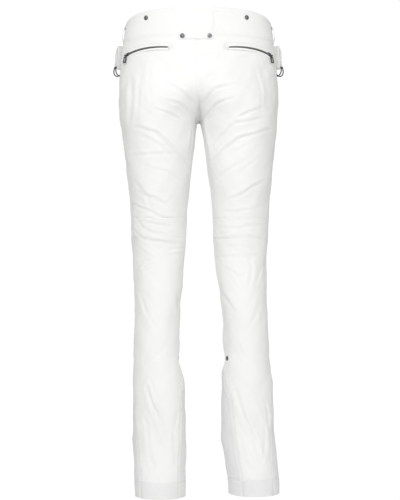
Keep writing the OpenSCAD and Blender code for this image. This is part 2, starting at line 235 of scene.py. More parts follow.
# ---- One cloth for the whole garment ----
class Cloth:
    """Both legs' grids joined into one surface.

    at[side][row, column] is a point's index, and rows[side] holds the rows' heights.
    """

    def __init__(self):
        points, self.rows, self.at = [], {}, {}
        for side in SIDES:
            self.rows[side], grid = measure(side)
            self.at[side] = np.arange(grid[:, :, 0].size).reshape(grid.shape[:2]) + len(points)
            points += list(grid.reshape(-1, 3))
        self.seat_rows = int((self.rows["left"] >= CROTCH - 1e-6).sum())
        self.join()
        points = np.array(points)
        for column in (0, -1):
            points[self.at["left"][:self.seat_rows, column], 0] = 0
        used = np.unique(np.concatenate([self.at[s].ravel() for s in SIDES]))
        renumber = np.full(len(points), -1)
        renumber[used] = np.arange(len(used))
        self.points = points[used]
        self.at = {s: renumber[self.at[s]] for s in SIDES}
        self.quads = np.concatenate([self.side_quads(s) for s in SIDES] + [self.crotch_quad()])
        self.edges = self.unique_edges()

    def join(self):
        """The legs share the centre seams above the crotch; below it each leg closes on itself."""
        n = self.seat_rows
        for side in SIDES:
            self.at[side][n:, -1] = self.at[side][n:, 0]
        for column in (0, -1):
            self.at["right"][:n, column] = self.at["left"][:n, column]

    def side_quads(self, side):
        """A leg's faces, with their corners in the order that points outwards."""
        a = self.at[side]
        quads = np.stack([a[:-1, :-1], a[:-1, 1:], a[1:, 1:], a[1:, :-1]], -1).reshape(-1, 4)
        return quads[:, ::-1] if side == "left" else quads

    def crotch_quad(self):
        """The one face between the legs."""
        left, right, last = self.at["left"], self.at["right"], self.seat_rows - 1
        return np.array([[left[last, 0], left[last + 1, 0], left[last, -1], right[last + 1, 0]]])

    def unique_edges(self):
        q = self.quads
        pairs = np.sort(np.concatenate([q[:, [0, 1]], q[:, [1, 2]], q[:, [2, 3]], q[:, [3, 0]]]), 1)
        return np.unique(pairs, axis=0)

    def spread(self, values, rounds, keep=()):
        """Averages per-point rows of values with their neighbours' some times over, except in keep."""
        n = len(self.points)
        ends = np.concatenate([self.edges, self.edges[:, ::-1]])
        count = np.bincount(ends[:, 0], minlength=n)[:, None]
        for _ in range(rounds):
            near = [np.bincount(ends[:, 0], column[ends[:, 1]], n) for column in values.T]
            new = 0.5 * values + 0.5 * np.stack(near, 1) / count
            new[keep] = values[keep]
            values = new
        return values

    def normals(self):
        """Each point's outward direction."""
        p, q = self.points, self.quads
        cross = np.cross(p[q[:, 2]] - p[q[:, 0]], p[q[:, 3]] - p[q[:, 1]])
        total = np.zeros_like(p)
        for corner in range(4):
            for axis in range(3):
                total[:, axis] += np.bincount(q[:, corner], cross[:, axis], len(p))
        return total / np.maximum(np.linalg.norm(total, axis=1, keepdims=True), 1e-12)

    def rims(self):
        """The open edges: the waist and both hems, which keep their places."""
        return np.unique(np.concatenate([self.at[s][k] for s in SIDES for k in (0, -1)]))


SMOOTHING = 24                # rounds, enough to take out the CAD mesh's facets
cloth = Cloth()
cloth.points = cloth.spread(cloth.points, SMOOTHING, cloth.rims())


# ---- Where the sewn lines run ----
# Angles round a leg are in degrees: 0 at the outer side, 90 at the back and 180 at the inner side.
# Each table below is a row of (height, value), from the hem up: the y of a leg's middle, and half the
# angle that a gusset takes up.
CENTRE_Y = ((-1.042, 0.004), (-0.8, 0.008), (-0.68, 0.006), (-0.6, 0.0), (-0.505, -0.008), (-0.2, -0.001))
SIDE_SPREAD = ((-1.0, 43), (-0.913, 36), (-0.83, 20), (-0.765, 0))
INNER_SPREAD = ((-1.0, 46), (-0.913, 44), (-0.83, 34), (-0.78, 18), (-0.742, 0))
INNER_TOP, TURNED_BY = -0.742, -0.83
INNER_TURN = {"left": 4, "right": -16}    # how far the inner gussets lie from 180 degrees, at the hem
KNEE_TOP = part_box("knee_back_left")[1].z
KNEE_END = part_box("knee_back_left")[0].z
BACK_KNEE_END = -0.484        # the lower of the two seams behind the knee


def along(table, z):
    """A table's value at a height."""
    return np.interp(z, [p[0] for p in table], [p[1] for p in table])


def leg_angles(side, row):
    """The angle of each column of a leg's row, from -180 to 180."""
    p = cloth.points[cloth.at[side][row]]
    x_mid, x_half = (p[:, 0].max() + p[:, 0].min()) / 2, np.ptp(p[:, 0]) / 2
    y_mid = along(CENTRE_Y, p[0, 2])
    y = p[:, 1] - y_mid
    y = np.where(y > 0, y / (p[:, 1].max() - y_mid), y / (y_mid - p[:, 1].min()))
    angles = np.degrees(np.arctan2(y, SIGN[side] * (p[:, 0] - x_mid) / x_half))
    angles[:HALF][angles[:HALF] > 90] = -180
    angles[HALF:][angles[HALF:] < -90] = 180
    angles[0], angles[-1] = -180, 180
    return np.maximum.accumulate(angles)


def gusset_columns(side):
    """Each row's fractional columns where the four gusset seams cross it."""
    rows = cloth.rows[side]
    lines = np.tile([0.0, HALF, HALF, COLUMNS], (len(rows), 1))
    for i, z in enumerate(rows):
        if z < INNER_TOP:
            angles = leg_angles(side, i)
            mid = 180 + INNER_TURN[side] * np.interp(z, (TURNED_BY, INNER_TOP), (1, 0))
            wide, narrow = along(INNER_SPREAD, z), along(SIDE_SPREAD, z)
            at = [mid + wide - 360, -narrow, narrow, mid - wide]
            lines[i] = np.interp(at, angles, np.arange(COLUMNS + 1))
            if narrow <= 0:
                lines[i, 1:3] = HALF
    return lines


LINES = {side: gusset_columns(side) for side in SIDES}


def nearest_row(side, z):
    return int(np.argmin(np.abs(cloth.rows[side] - z)))


RIM_SEAM_ROW = 2              # the turned edge under the waist rim
HEM_ROW = {s: len(cloth.rows[s]) - HEM_ROWS - 1 for s in SIDES}
KNEE_ROWS = {s: {"back": (nearest_row(s, KNEE_TOP), nearest_row(s, BACK_KNEE_END)),
                 "front": (nearest_row(s, KNEE_TOP), nearest_row(s, KNEE_END))} for s in SIDES}

# ---- Folds ----
# Each fold is its half width, its height and then the (x, z) points of its path, all in mm.
BACK_FOLDS = (
    # the seat, under the band and out from the centre seam
    (7, 1.5, (22, -124), (-14, -107), (-40, -111)), (6, 1.3, (10, -92), (-18, -84), (-44, -92)),
    (6, 2.4, (-41, -135), (-20, -152), (-4, -187)), (6, 2.8, (72, -162), (48, -173), (8, -204)),
    (5, 2.4, (31, -135), (24, -160), (5, -192)), (6, 3.0, (-79, -166), (-38, -173), (-7, -206)),
    (6, 2.6, (72, -196), (42, -206), (8, -226)), (6, 2.6, (-80, -192), (-44, -206), (-8, -228)),
    (6, 2.4, (-141, -231), (-79, -242), (-31, -290)), (5, 2.0, (96, -214), (60, -226), (22, -246)),
    (8, 1.4, (118, -128), (128, -180), (132, -244)), (8, 1.2, (140, -136), (146, -190), (144, -250)),
    (7, 1.0, (-120, -128), (-130, -170), (-134, -232)), (6, 1.0, (100, -120), (104, -160), (98, -206)),
    (5, 1.0, (30, -98), (52, -106), (84, -102)), (5, 0.9, (-60, -100), (-88, -108), (-112, -104)),
    # the inner thighs, just under the crotch
    (4, 3.6, (9, -236), (13, -262), (18, -296)), (5, 4.4, (-8, -230), (-13, -272), (-23, -324)),
    # the thighs
    (7, 3.6, (133, -251), (91, -261), (49, -299), (16, -337)), (6, 1.7, (142, -313), (92, -307), (47, -305)),
    (7, 1.8, (120, -270), (78, -290), (40, -330)), (6, 1.5, (108, -330), (70, -342), (30, -372)),
    (6, 3.2, (-150, -256), (-87, -274), (-30, -318)), (6, 2.0, (-133, -211), (-100, -222), (-72, -240)),
    (6, 2.8, (-144, -358), (-87, -393), (-56, -406)), (6, 1.4, (-120, -280), (-80, -300), (-50, -340)),
    (8, 1.5, (-100, -318), (-66, -340), (-36, -364)), (6, 1.2, (-132, -310), (-104, -332), (-84, -362)),
    (7, 1.4, (136, -360), (112, -390), (96, -428)), (6, 1.2, (40, -372), (52, -396), (74, -420)),
    # behind the knees
    (7, 2.2, (128, -386), (96, -400), (66, -416)), (6, 2.2, (142, -410), (104, -426), (70, -440)),
    (5, 1.7, (119, -450), (84, -454), (47, -458)),
    (6, 2.7, (142, -466), (113, -486), (58, -494), (24, -498)),
    (5, 1.8, (60, -506), (42, -506), (24, -508)), (5, 1.8, (72, -520), (44, -519), (26, -517)),
    (6, 1.8, (136, -440), (118, -462), (94, -474)), (6, 2.0, (125, -555), (108, -538), (86, -518)),
    (5, 1.4, (130, -500), (112, -512), (88, -530)), (5, 1.4, (52, -470), (70, -476), (96, -470)),
    (7, 1.2, (-34, -486), (-80, -482), (-140, -484)), (6, 1.6, (-40, -458), (-84, -464), (-128, -458)),
    (7, 1.3, (-52, -522), (-92, -526), (-136, -518)), (7, 2.0, (-108, -520), (-112, -550), (-106, -582)),
    (5, 1.6, (-60, -502), (-92, -500), (-120, -506)), (6, 1.5, (-46, -424), (-80, -430), (-126, -420)),
    (6, 1.5, (-58, -546), (-80, -560), (-100, -566)), (6, 1.4, (-134, -540), (-128, -560), (-120, -590)),
    # the calves
    (8, 2.0, (-45, -593), (-60, -618), (-77, -640)), (8, 2.0, (49, -593), (44, -618), (35, -646)),
    (7, 1.3, (124, -600), (112, -640), (92, -672)), (7, 1.2, (-130, -610), (-118, -650), (-96, -680)),
    (9, 1.2, (60, -690), (74, -720), (92, -744)), (8, 1.1, (-76, -696), (-92, -726), (-110, -748)),
    # the lower legs
    (8, 3.4, (111, -796), (92, -850), (71, -909)), (7, 2.2, (102, -778), (80, -850), (60, -930)),
    (8, 3.4, (-77, -808), (-104, -880), (-134, -951)), (7, 1.8, (-136, -880), (-140, -920), (-138, -950)),
    (6, 1.6, (-139, -822), (-144, -858), (-147, -891)), (7, 1.5, (-92, -790), (-112, -830), (-130, -880)),
    (7, 1.5, (118, -860), (108, -910), (96, -964)), (6, 1.2, (-84, -900), (-98, -940), (-112, -976)),
    (6, 1.3, (46, -850), (52, -900), (50, -960)), (6, 1.2, (86, -930), (82, -962), (84, -990)),
)
FRONT_FOLDS = (
    (8, 2.0, (24, -176), (52, -196), (96, -204)), (8, 2.0, (-24, -178), (-54, -194), (-98, -206)),
    (9, 1.8, (16, -206), (44, -232), (90, -252)), (9, 1.8, (-16, -208), (-46, -236), (-92, -250)),
    (6, 1.2, (30, -150), (62, -160), (110, -158)), (6, 1.2, (-30, -152), (-64, -160), (-112, -156)),
    (8, 1.5, (120, -300), (90, -330), (52, -350)), (8, 1.5, (-124, -304), (-92, -332), (-54, -356)),
    (8, 1.6, (132, -420), (100, -434), (60, -430)), (8, 1.6, (-134, -424), (-100, -436), (-58, -432)),
    (7, 1.6, (50, -560), (84, -572), (124, -564)), (7, 1.6, (-52, -562), (-88, -574), (-126, -566)),
    (8, 1.8, (58, -596), (88, -612), (124, -606)), (8, 1.8, (-56, -600), (-90, -616), (-124, -604)),
    (9, 1.4, (66, -700), (80, -740), (102, -790)), (9, 1.4, (-70, -704), (-88, -744), (-110, -796)),
    (8, 1.8, (104, -850), (90, -890), (64, -930)), (8, 1.8, (-112, -852), (-98, -894), (-76, -936)),
    (7, 1.4, (74, -940), (84, -966), (86, -996)), (7, 1.4, (-84, -942), (-96, -968), (-98, -996)),
)


def crinkle_rows(x_from, x_to, z_from, count, pitch, slope):
    """A run of short small folds below one another, such as cloth makes over a pocket."""
    folds = []
    for k in range(count):
        shift = 5 * math.sin(2.1 * k)
        z = z_from - pitch * k + 1.5 * math.sin(3.7 * k)
        mid = (x_from + x_to) / 2 + shift
        folds.append((3.6, 0.75 + 0.25 * math.sin(1.3 * k), (x_from + shift, z + slope),
                      (mid, z + 1.2 * math.cos(k)), (x_to + shift, z - slope)))
    return folds


SMALL_FOLDS = (crinkle_rows(38, 76, -172, 9, 8.5, 1) + crinkle_rows(-54, -92, -166, 6, 9, 8)
               + crinkle_rows(62, 120, -388, 11, 9.5, -7) + crinkle_rows(-60, -124, -436, 5, 11, 2)
               + crinkle_rows(70, 118, -532, 4, 10, 6))


def fold_height(x, z, fold):
    """One fold's height, in mm, at points (x, z): a soft ridge with a sharper valley under it."""
    width, height, *path = fold
    best, height_at = np.full(len(x), 1e9), np.zeros(len(x))
    lengths = [math.dist(a, b) for a, b in zip(path, path[1:])]
    run = 0.0
    for (ax, az), (bx, bz), length in zip(path, path[1:], lengths):
        t = np.clip(((x - ax) * (bx - ax) + (z - az) * (bz - az)) / length ** 2, 0, 1)
        dx, dz = x - ax - t * (bx - ax), z - az - t * (bz - az)
        away = np.hypot(dx, dz)
        up = np.sign(dz * abs(bx - ax) + dx * np.sign(ax) * abs(bz - az) * 0.6)
        u = away * up / width
        share = (run + t * length) / sum(lengths)
        taper = np.sin(math.pi * (0.08 + 0.84 * share)) ** 0.8
        shape = (0.75 * np.exp(-((u - 0.85) / 0.62) ** 2) - 0.8 * np.exp(-(u / 0.42) ** 2)
                 + 0.3 * np.exp(-((u + 0.9) / 0.6) ** 2))
        closer = away < best
        height_at = np.where(closer, height * taper * shape, height_at)
        best = np.minimum(best, away)
        run += length
    return height_at


def ripple(p, pitch, seed):
    """Smooth waves without a direction, from -1 to 1, in a pattern set by seed."""
    total = np.zeros(len(p))
    for k in range(6):
        angle = seed * 1.7 + k * 2.4
        tilt = 0.9 * math.sin(seed + 1.3 * k)
        wave = np.array([math.cos(angle), math.sin(angle), tilt])
        total += np.sin(p @ wave * (2 * math.pi / pitch) * (1 + 0.17 * k) + seed * k)
    return total / 3.2


# A back pocket's zip runs on an arc: its centre in mm, how it lies, and its angles in degrees.
ARC_CENTRE, ARC_LEAN, ARC_HEADING = (44, -30, -156), 30, -111
ARC_R, ARC_FROM, ARC_SWEEP, ARC_TURN = 142, 147, 43, -19


def arc_point(side, degrees, out, across):
    """A point of a back pocket's zip: out and across are in mm, from the line the zip follows."""
    turn, a = math.radians(ARC_TURN), math.radians(degrees)
    r = ARC_R + out * math.cos(turn) - across * math.sin(turn)
    z = out * math.sin(turn) + across * math.cos(turn)
    local = Vector((r * math.cos(a), r * math.sin(a), z))
    lean = Matrix.Rotation(math.radians(ARC_LEAN), 3, "Y")
    p = Matrix.Rotation(math.radians(ARC_HEADING), 3, "Z") @ lean @ local + Vector(ARC_CENTRE)
    return Vector((p.x * SIGN[side], p.y, p.z)) * MM


def distance_to(p, line):
    """How far each point lies from the nearest of a line's points."""
    return np.min([np.linalg.norm(p - np.array(q), axis=1) for q in line], axis=0)


def zip_distance(p, side):
    """How far each point lies from the line of a back pocket's zip, which ends a little past it."""
    angles = np.linspace(ARC_FROM - 1.5, ARC_FROM + ARC_SWEEP + 1.5, 60)
    return distance_to(p, [arc_point(side, a, 0, 0) for a in angles])


# The fly's zip runs between these points, in mm.
FLY_LOW, FLY_HIGH = Vector((0, -96, -160)), Vector((0, -90, -90))


def fly_point(t, out, across):
    """A point of the fly's zip, t mm up from its lower end."""
    way = (FLY_HIGH - FLY_LOW).normalized()
    outward = Vector((0, -way.z, way.y))
    return (FLY_LOW + way * t + outward * out + Vector((across, 0, 0))) * MM


CLEFT_Z, CLEFT_DEPTH = -222, 7.5    # the centre back seam is drawn in most here, in mm
BACK_GROOVE, FLY_GROOVE = 3.4, 4.4    # how deep the zips lie below the cloth beside them, in mm


def all_folds(p, normals):
    """The height of all the folds in mm at each point, on the face of the pants that they belong to."""
    x, z = p[:, 0] * 1000, p[:, 2] * 1000
    bend = 3.0 * ripple(p, 0.16, 1.0)
    bend_z = 2.6 * ripple(p, 0.13, 4.0)
    height = np.zeros(len(p))
    for face, folds in ((1, BACK_FOLDS + tuple(SMALL_FOLDS)), (-1, FRONT_FOLDS)):
        facing = np.clip(normals[:, 1] * face * 2.2, 0, 1)
        near = facing > 0
        for fold in folds:
            height[near] += fold_height(x[near] + bend[near], z[near] + bend_z[near], fold) * facing[near]
    return height


def cleft(p, normals):
    """The hollow along the centre back seam, from 0 to 1."""
    across = np.exp(-(p[:, 0] * 1000 / 4.5) ** 2)
    return (normals[:, 1] > 0) * across * np.exp(-((p[:, 2] * 1000 - CLEFT_Z) / 26) ** 2)


def sculpt():
    """Moves the cloth's points along their normals by the folds, and by soft unevenness."""
    normals = cloth.normals()
    p = cloth.points
    soft = 0.9 * ripple(p, 0.09, 2.0) + 0.35 * ripple(p, 0.034, 3.0) + 0.14 * ripple(p, 0.016, 5.0)
    zip_away = np.minimum(zip_distance(p, "left"), zip_distance(p, "right"))
    fly_away = distance_to(p, [fly_point(t, 0, 0) for t in np.linspace(-6, 72, 60)])
    calm = np.clip((np.minimum(zip_away, fly_away) - 0.006) / 0.012, 0, 1)
    height = all_folds(p, normals) * calm - CLEFT_DEPTH * cleft(p, normals)
    below_band = np.clip((SEAM_Z - 0.004 - p[:, 2]) / 0.02, 0, 1)
    above_hem = np.clip((p[:, 2] - HEM_TOP["right"] - 0.002) / 0.015, 0.15, 1)
    height = (height + soft * calm) * below_band * above_hem
    for away, depth in ((zip_away, BACK_GROOVE), (fly_away, FLY_GROOVE)):
        height -= depth * np.clip((0.0076 - away) / 0.003, 0, 1)
    cloth.points = p + normals * (height[:, None] * MM)


sculpt()
SEAM, DEEP_SEAM = -1.4, -2.4        # how far the seams down a leg are pressed in, in mm
KNEE_SEAM, EDGE_SEAM = -0.3, -0.8   # and those across it, and along the hems and the rim


def cross_seams(side):
    """The seams that run round a leg, as (row, first column, last column)."""
    top, end = KNEE_ROWS[side]["front"]
    return ((top, 0, COLUMNS), (end, 0, HALF), (KNEE_ROWS[side]["back"][1], HALF, COLUMNS),
            (HEM_ROW[side], 0, COLUMNS))


def down_seam(side, i, column):
    """How deep a seam that runs down the leg is at row i, and how the cloth beside it puckers."""
    z = cloth.rows[side][i]
    if 0 < column < COLUMNS and z < SIDE_SPREAD[-1][0]:
        return DEEP_SEAM, 0.9 * math.sin(i * 2.1 + column)
    pucker = 0.3 * math.sin(i * 1.9 + column) + 0.2 * math.sin(i * 0.83 + 2 * column)
    centre_back = z > CROTCH and column == COLUMNS
    return DEEP_SEAM if centre_back else SEAM, pucker


def press_down_seams(side, sink):
    at = cloth.at[side]
    for i in range(BAND_ROWS + 1, len(at) - 1):
        for column in {0, COLUMNS, *(int(round(f)) for f in LINES[side][i])}:
            deep, pucker = down_seam(side, i, column)
            for step, depth in ((0, deep), (1, 0.1 + 0.5 * pucker), (2, 0.3 + 0.5 * pucker)):
                for j in {column - step, column + step}:
                    if 0 <= j <= COLUMNS and (depth < 0 or sink[at[i, j]] >= 0):
                        sink[at[i, j]] = depth


def press_cross_seams(side, sink):
    at = cloth.at[side]
    for row, first, last in cross_seams(side):
        for j in range(first, last + 1):
            pucker = 0.3 * math.sin(j * 1.7 + row) + 0.2 * math.sin(j * 0.7)
            sink[at[row, j]] = EDGE_SEAM if row == HEM_ROW[side] else KNEE_SEAM
            for step in (-2, -1, 1, 2):
                sink[at[row + step, j]] += 0.15 + 0.4 * pucker


def press_seams():
    """Sinks every sewn line a little, and puckers the cloth beside it."""
    sink = np.zeros(len(cloth.points))
    for side in SIDES:
        press_down_seams(side, sink)
        press_cross_seams(side, sink)
        sink[cloth.at[side][RIM_SEAM_ROW]] = EDGE_SEAM
    cloth.points = cloth.points + cloth.normals() * (sink[:, None] * MM)


press_seams()
NORMALS = cloth.normals()
SKIN = BVHTree.FromPolygons([Vector(p) for p in cloth.points], cloth.quads.tolist())


# ---- Cutting the cloth into its sewn pieces ----
class Cut:
    """A side's own copy of the cloth, with its gusset seams moved onto whole columns."""

    def __init__(self, side):
        self.at = cloth.at[side]
        self.points, self.normals = cloth.points.copy(), NORMALS
        self.column = np.rint(LINES[side]).astype(int).tolist()
        for i in range(len(self.at)):
            for k, f in enumerate(LINES[side][i]):
                j = min(int(f), COLUMNS - 1)
                if abs(f - round(f)) > 1e-6:
                    a, b = cloth.points[self.at[i, j]], cloth.points[self.at[i, j + 1]]
                    self.points[self.at[i, self.column[i][k]]] = a + (b - a) * (f - j)
        self.flip = side == "left"
        self.coords = self.unrolled()
        self.by_row = self.sort_faces()

    def unrolled(self):
        """Each grid point's place on the flat cloth in metres, for the weave."""
        g = cloth.points[self.at]
        across = np.linalg.norm(np.diff(g, axis=1), axis=2)
        u = np.concatenate([np.zeros((len(g), 1)), np.cumsum(across, axis=1)], 1)
        return np.stack([u - u[:, HALF:HALF + 1], g[:, :, 2]], -1)

    def sort_faces(self):
        """Every face by row and sewn part, as corners (row, column). Seam quads are split."""
        found = {}
        for i in range(len(self.at) - 1):
            for j in range(COLUMNS):
                for shape in self.split([(i, j), (i, j + 1), (i + 1, j + 1), (i + 1, j)]):
                    part = self.part_of(shape)
                    found.setdefault((i, part), []).append(shape[::-1] if self.flip else shape)
        return found

    def faces(self, first, last, part):
        """The faces of a sewn part from one row to another."""
        return [shape for i in range(first, last) for shape in self.by_row.get((i, part), ())]

    def split(self, corners):
        """A quad as it is, or as two triangles where a seam crosses it from corner to corner."""
        for k in range(4):
            where = [j - self.column[i][k] for i, j in corners]
            if min(where) < 0 < max(where):
                a, b, c, d = corners
                return [[a, b, c], [a, c, d]] if where[0] == 0 else [[a, b, d], [b, c, d]]
        return [corners]

    def part_of(self, shape):
        """The sewn part that a face belongs to."""
        where = [sum(j - self.column[i][k] for i, j in shape) for k in range(4)]
        if where[0] < 0 or where[3] > 0:
            return "inner"
        if where[1] > 0 and where[2] < 0:
            return "outer"
        return "front" if where[1] <= 0 else "back"


def new_piece(name, points, faces, uvs=None, smooth=True):
    """A mesh object. uvs is one (u, v) for each corner of each face, in order."""
    mesh = bpy.data.meshes.new(name)
    mesh.from_pydata([tuple(p) for p in points], [], [tuple(int(i) for i in f) for f in faces])
    if uvs is not None:
        layer = mesh.uv_layers.new(name="cloth")
        layer.data.foreach_set("uv", np.asarray(uvs, np.float32).ravel())
    mesh.polygons.foreach_set("use_smooth", [smooth] * len(mesh.polygons))
    mesh.update()
    piece = bpy.data.objects.new(name, mesh)
    bpy.context.scene.collection.objects.link(piece)
    return piece


def sharpen_walls(piece, first_wall):
    """Keeps the corner between a cloth's face and its cut edge crisp."""
    mesh = piece.data
    wall_edges = set()
    for polygon in mesh.polygons[first_wall:]:
        polygon.use_smooth = False
        wall_edges.update(polygon.edge_keys)
    sharp = mesh.attributes.new("sharp_edge", "BOOLEAN", "EDGE")
    sharp.data.foreach_set("value", [edge.key in wall_edges for edge in mesh.edges])


def solid_cloth(name, points, faces, normals, uvs, thick, lift=0.0):
    """A closed piece of cloth: outer face, inner face thick further in, and its cut edges.

    uvs holds a list of (u, v) for each face, in the order of its corners.
    """
    n = len(points)
    outer = points + normals * lift
    inner = points - normals * (thick - lift)
    used, uv_at = set(), {}
    for f, uv in zip(faces, uvs):
        used.update(zip(f, f[1:] + f[:1]))
        uv_at.update(zip(f, uv))
    walls = sorted((b, a, a + n, b + n) for a, b in used if (b, a) not in used)
    shapes = [list(f) for f in faces] + [[i + n for i in reversed(f)] for f in faces] + walls
    flat = [c for uv in uvs for c in uv] + [c for uv in uvs for c in reversed(uv)]
    flat += [uv_at[i % n] for wall in walls for i in wall]
    piece = new_piece(name, np.concatenate([outer, inner]), shapes, flat)
    sharpen_walls(piece, 2 * len(faces))
    return piece


CUTS = {side: Cut(side) for side in SIDES}
CLOTH_THICK = 1.2 * MM
HEM_THICK, HEM_LIFT = 2.6 * MM, 0.5 * MM      # folded cloth stands a little above the seam line
BAND_THICK, BAND_LIFT = 2.9 * MM, 0.7 * MM


def from_grid(name, chunks, thick=CLOTH_THICK, lift=0.0):
    """One piece of cloth from the faces of one or both sides. chunks are (side, faces)."""
    index, points, normals, uvs, faces = {}, [], [], [], []
    for side, shapes in chunks:
        cut = CUTS[side]
        for shape in shapes:
            face = []
            for corner in shape:
                key = int(cut.at[corner])
                if key not in index:
                    index[key] = len(points)
                    points.append(cut.points[key])
                    normals.append(cut.normals[key])
                face.append(index[key])
            faces.append(face)
            uvs.append([tuple(cut.coords[corner]) for corner in shape])
    return solid_cloth(name, np.array(points), faces, np.array(normals), uvs, thick, lift)


def bend_at_knee(piece):
    """Bakes the piece's placement into its points. The bend from the thigh to the shin, over a little more
    than the knee panels, is not made here.
    """
    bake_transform(piece)


def leg_panels(side):
    cut = CUTS[side]
    hem = HEM_ROW[side]
    for face in ("back", "front"):
        knee_top, knee_end = KNEE_ROWS[side][face]
        spans = {"panel": (BAND_ROWS, knee_top), "knee": (knee_top, knee_end), "shin": (knee_end, hem)}
        for part, (first, last) in spans.items():
            node = f"{face}_panel_{side}" if part == "panel" else f"{part}_{face}_{side}"
            piece = from_grid(f"{node}_cloth", [(side, cut.faces(first, last, face))])
            bend_at_knee(piece)
            finish(piece, None, "shell_fabric", node)
    for part, node in (("outer", f"side_gusset_{side}"), ("inner", f"inner_gusset_{side}")):
        piece = from_grid(f"{node}_cloth", [(side, cut.faces(knee_end, hem, part))])
        finish(piece, f"shin_{side}", "gusset_fabric", node)
    faces = [f for part in ("front", "outer", "back", "inner")
             for f in cut.faces(hem, len(cut.at) - 1, part)]
    piece = from_grid(f"hem_{side}_cloth", [(side, faces)], HEM_THICK, HEM_LIFT)
    finish(piece, f"shin_{side}", "hem_fabric", f"hem_{side}")


def waistbands():
    both = [(s, CUTS[s].faces(0, BAND_ROWS, "back")) for s in SIDES]
    pieces = [("waistband_back", both)]
    pieces += [(f"waistband_front_{s}", [(s, CUTS[s].faces(0, BAND_ROWS, "front"))]) for s in SIDES]
    for node, chunks in pieces:
        piece = from_grid(f"{node}_cloth", chunks, BAND_THICK, BAND_LIFT)
        finish(piece, "pants", "band_fabric", node)


# ---- Materials ----
class Shader:
    """A new material, with short calls that add its nodes and return their outputs."""

    def __init__(self, name):
        self.material = bpy.data.materials.new(name)
        self.material.use_nodes = True
        self.tree = self.material.node_tree
        self.surface = self.tree.nodes["Principled BSDF"]

    def feed(self, node, sockets):
        """Sets inputs, by name or number, to constants or links them to other nodes' outputs."""
        for key, value in sockets.items():
            if isinstance(value, bpy.types.NodeSocket):
                self.tree.links.new(value, node.inputs[key])
            else:
                node.inputs[key].default_value = value
        return node

    def node(self, kind, sockets):
        return self.feed(self.tree.nodes.new(f"ShaderNode{kind}"), sockets)

    def coordinates(self, kind):
        return self.node("TexCoord", {}).outputs[kind]

    def threads(self, vector, direction, pitch):
        """Threads side by side, pitch metres apart."""
        sockets = {"Vector": vector, "Scale": 2 * math.pi / (20 * pitch), "Distortion": 0.6}
        wave = self.node("TexWave", sockets)
        wave.bands_direction = direction
        return wave.outputs["Fac"]

    def math(self, operation, a, b):
        node = self.node("Math", {0: a, 1: b})
        node.operation = operation
        return node.outputs[0]

    def noise(self, vector, scale, detail):
        return self.node("TexNoise", {"Vector": vector, "Scale": scale, "Detail": detail}).outputs["Fac"]

    def two_tone(self, fac, dark, light, low=0.3, high=0.7):
        ramp = self.node("ValToRGB", {"Fac": fac})
        for element, position, tone in zip(ramp.color_ramp.elements, (low, high), (dark, light)):
            element.position = position
            element.color = (*tone, 1)
        return ramp.outputs["Color"]

    def bump(self, height, strength, distance, before=None):
        sockets = {"Height": height, "Strength": strength, "Distance": distance}
        if before is not None:
            sockets["Normal"] = before
        return self.node("Bump", sockets).outputs["Normal"]

    def finish(self, **sockets):
        """Feeds the surface, with _ for each space in a socket's name, and returns the material."""
        self.feed(self.surface, {key.replace("_", " "): value for key, value in sockets.items()})
        return self.material


def woven(name, dark, light, roughness, sheen, pitch, depth):
    """Woven cloth: two crossed sets of threads, slubs in the yarn, and a slightly uneven white."""
    shader = Shader(name)
    uv, where = shader.coordinates("UV"), shader.coordinates("Object")
    weave = shader.math("MAXIMUM", shader.threads(uv, "X", pitch), shader.threads(uv, "Y", pitch * 1.1))
    slub = shader.noise(where, 900.0, 2.0)
    cockle = shader.noise(where, 95.0, 3.0)
    tone = shader.noise(where, 7.0, 5.0)
    mixed = shader.math("ADD", tone, shader.math("MULTIPLY", slub, 0.35))
    rough = shader.math("MULTIPLY", slub, 0.16)
    fine = shader.bump(weave, 0.45, depth, shader.bump(cockle, 0.35, 0.0012))
    return shader.finish(
        Base_Color=shader.two_tone(mixed, dark, light, 0.35, 0.85),
        Roughness=shader.math("ADD", rough, roughness - 0.08),
        Normal=shader.bump(slub, 0.25, depth, fine),
        Sheen_Weight=sheen, Sheen_Roughness=0.45, Specular_IOR_Level=0.3)


def metal(name, dark, light, roughness):
    """Plated metal, worn a little brighter in patches, with a fine uneven polish."""
    shader = Shader(name)
    where = shader.coordinates("Object")
    patches = shader.noise(where, 420.0, 6.0)
    polish = shader.noise(where, 1040.0, 3.0)
    uneven = shader.math("MULTIPLY", polish, 0.18)
    return shader.finish(
        Base_Color=shader.two_tone(patches, dark, light, 0.42, 0.72),
        Roughness=shader.math("ADD", uneven, roughness - 0.08),
        Normal=shader.bump(polish, 0.12, 0.0001), Metallic=1.0)


def moulded(name, dark, light, roughness):
    """Moulded plastic with a fine grain."""
    shader = Shader(name)
    grain = shader.noise(shader.coordinates("Object"), 1500.0, 4.0)
    return shader.finish(Base_Color=shader.two_tone(grain, dark, light),
                         Normal=shader.bump(grain, 0.2, 0.0001), Roughness=roughness)


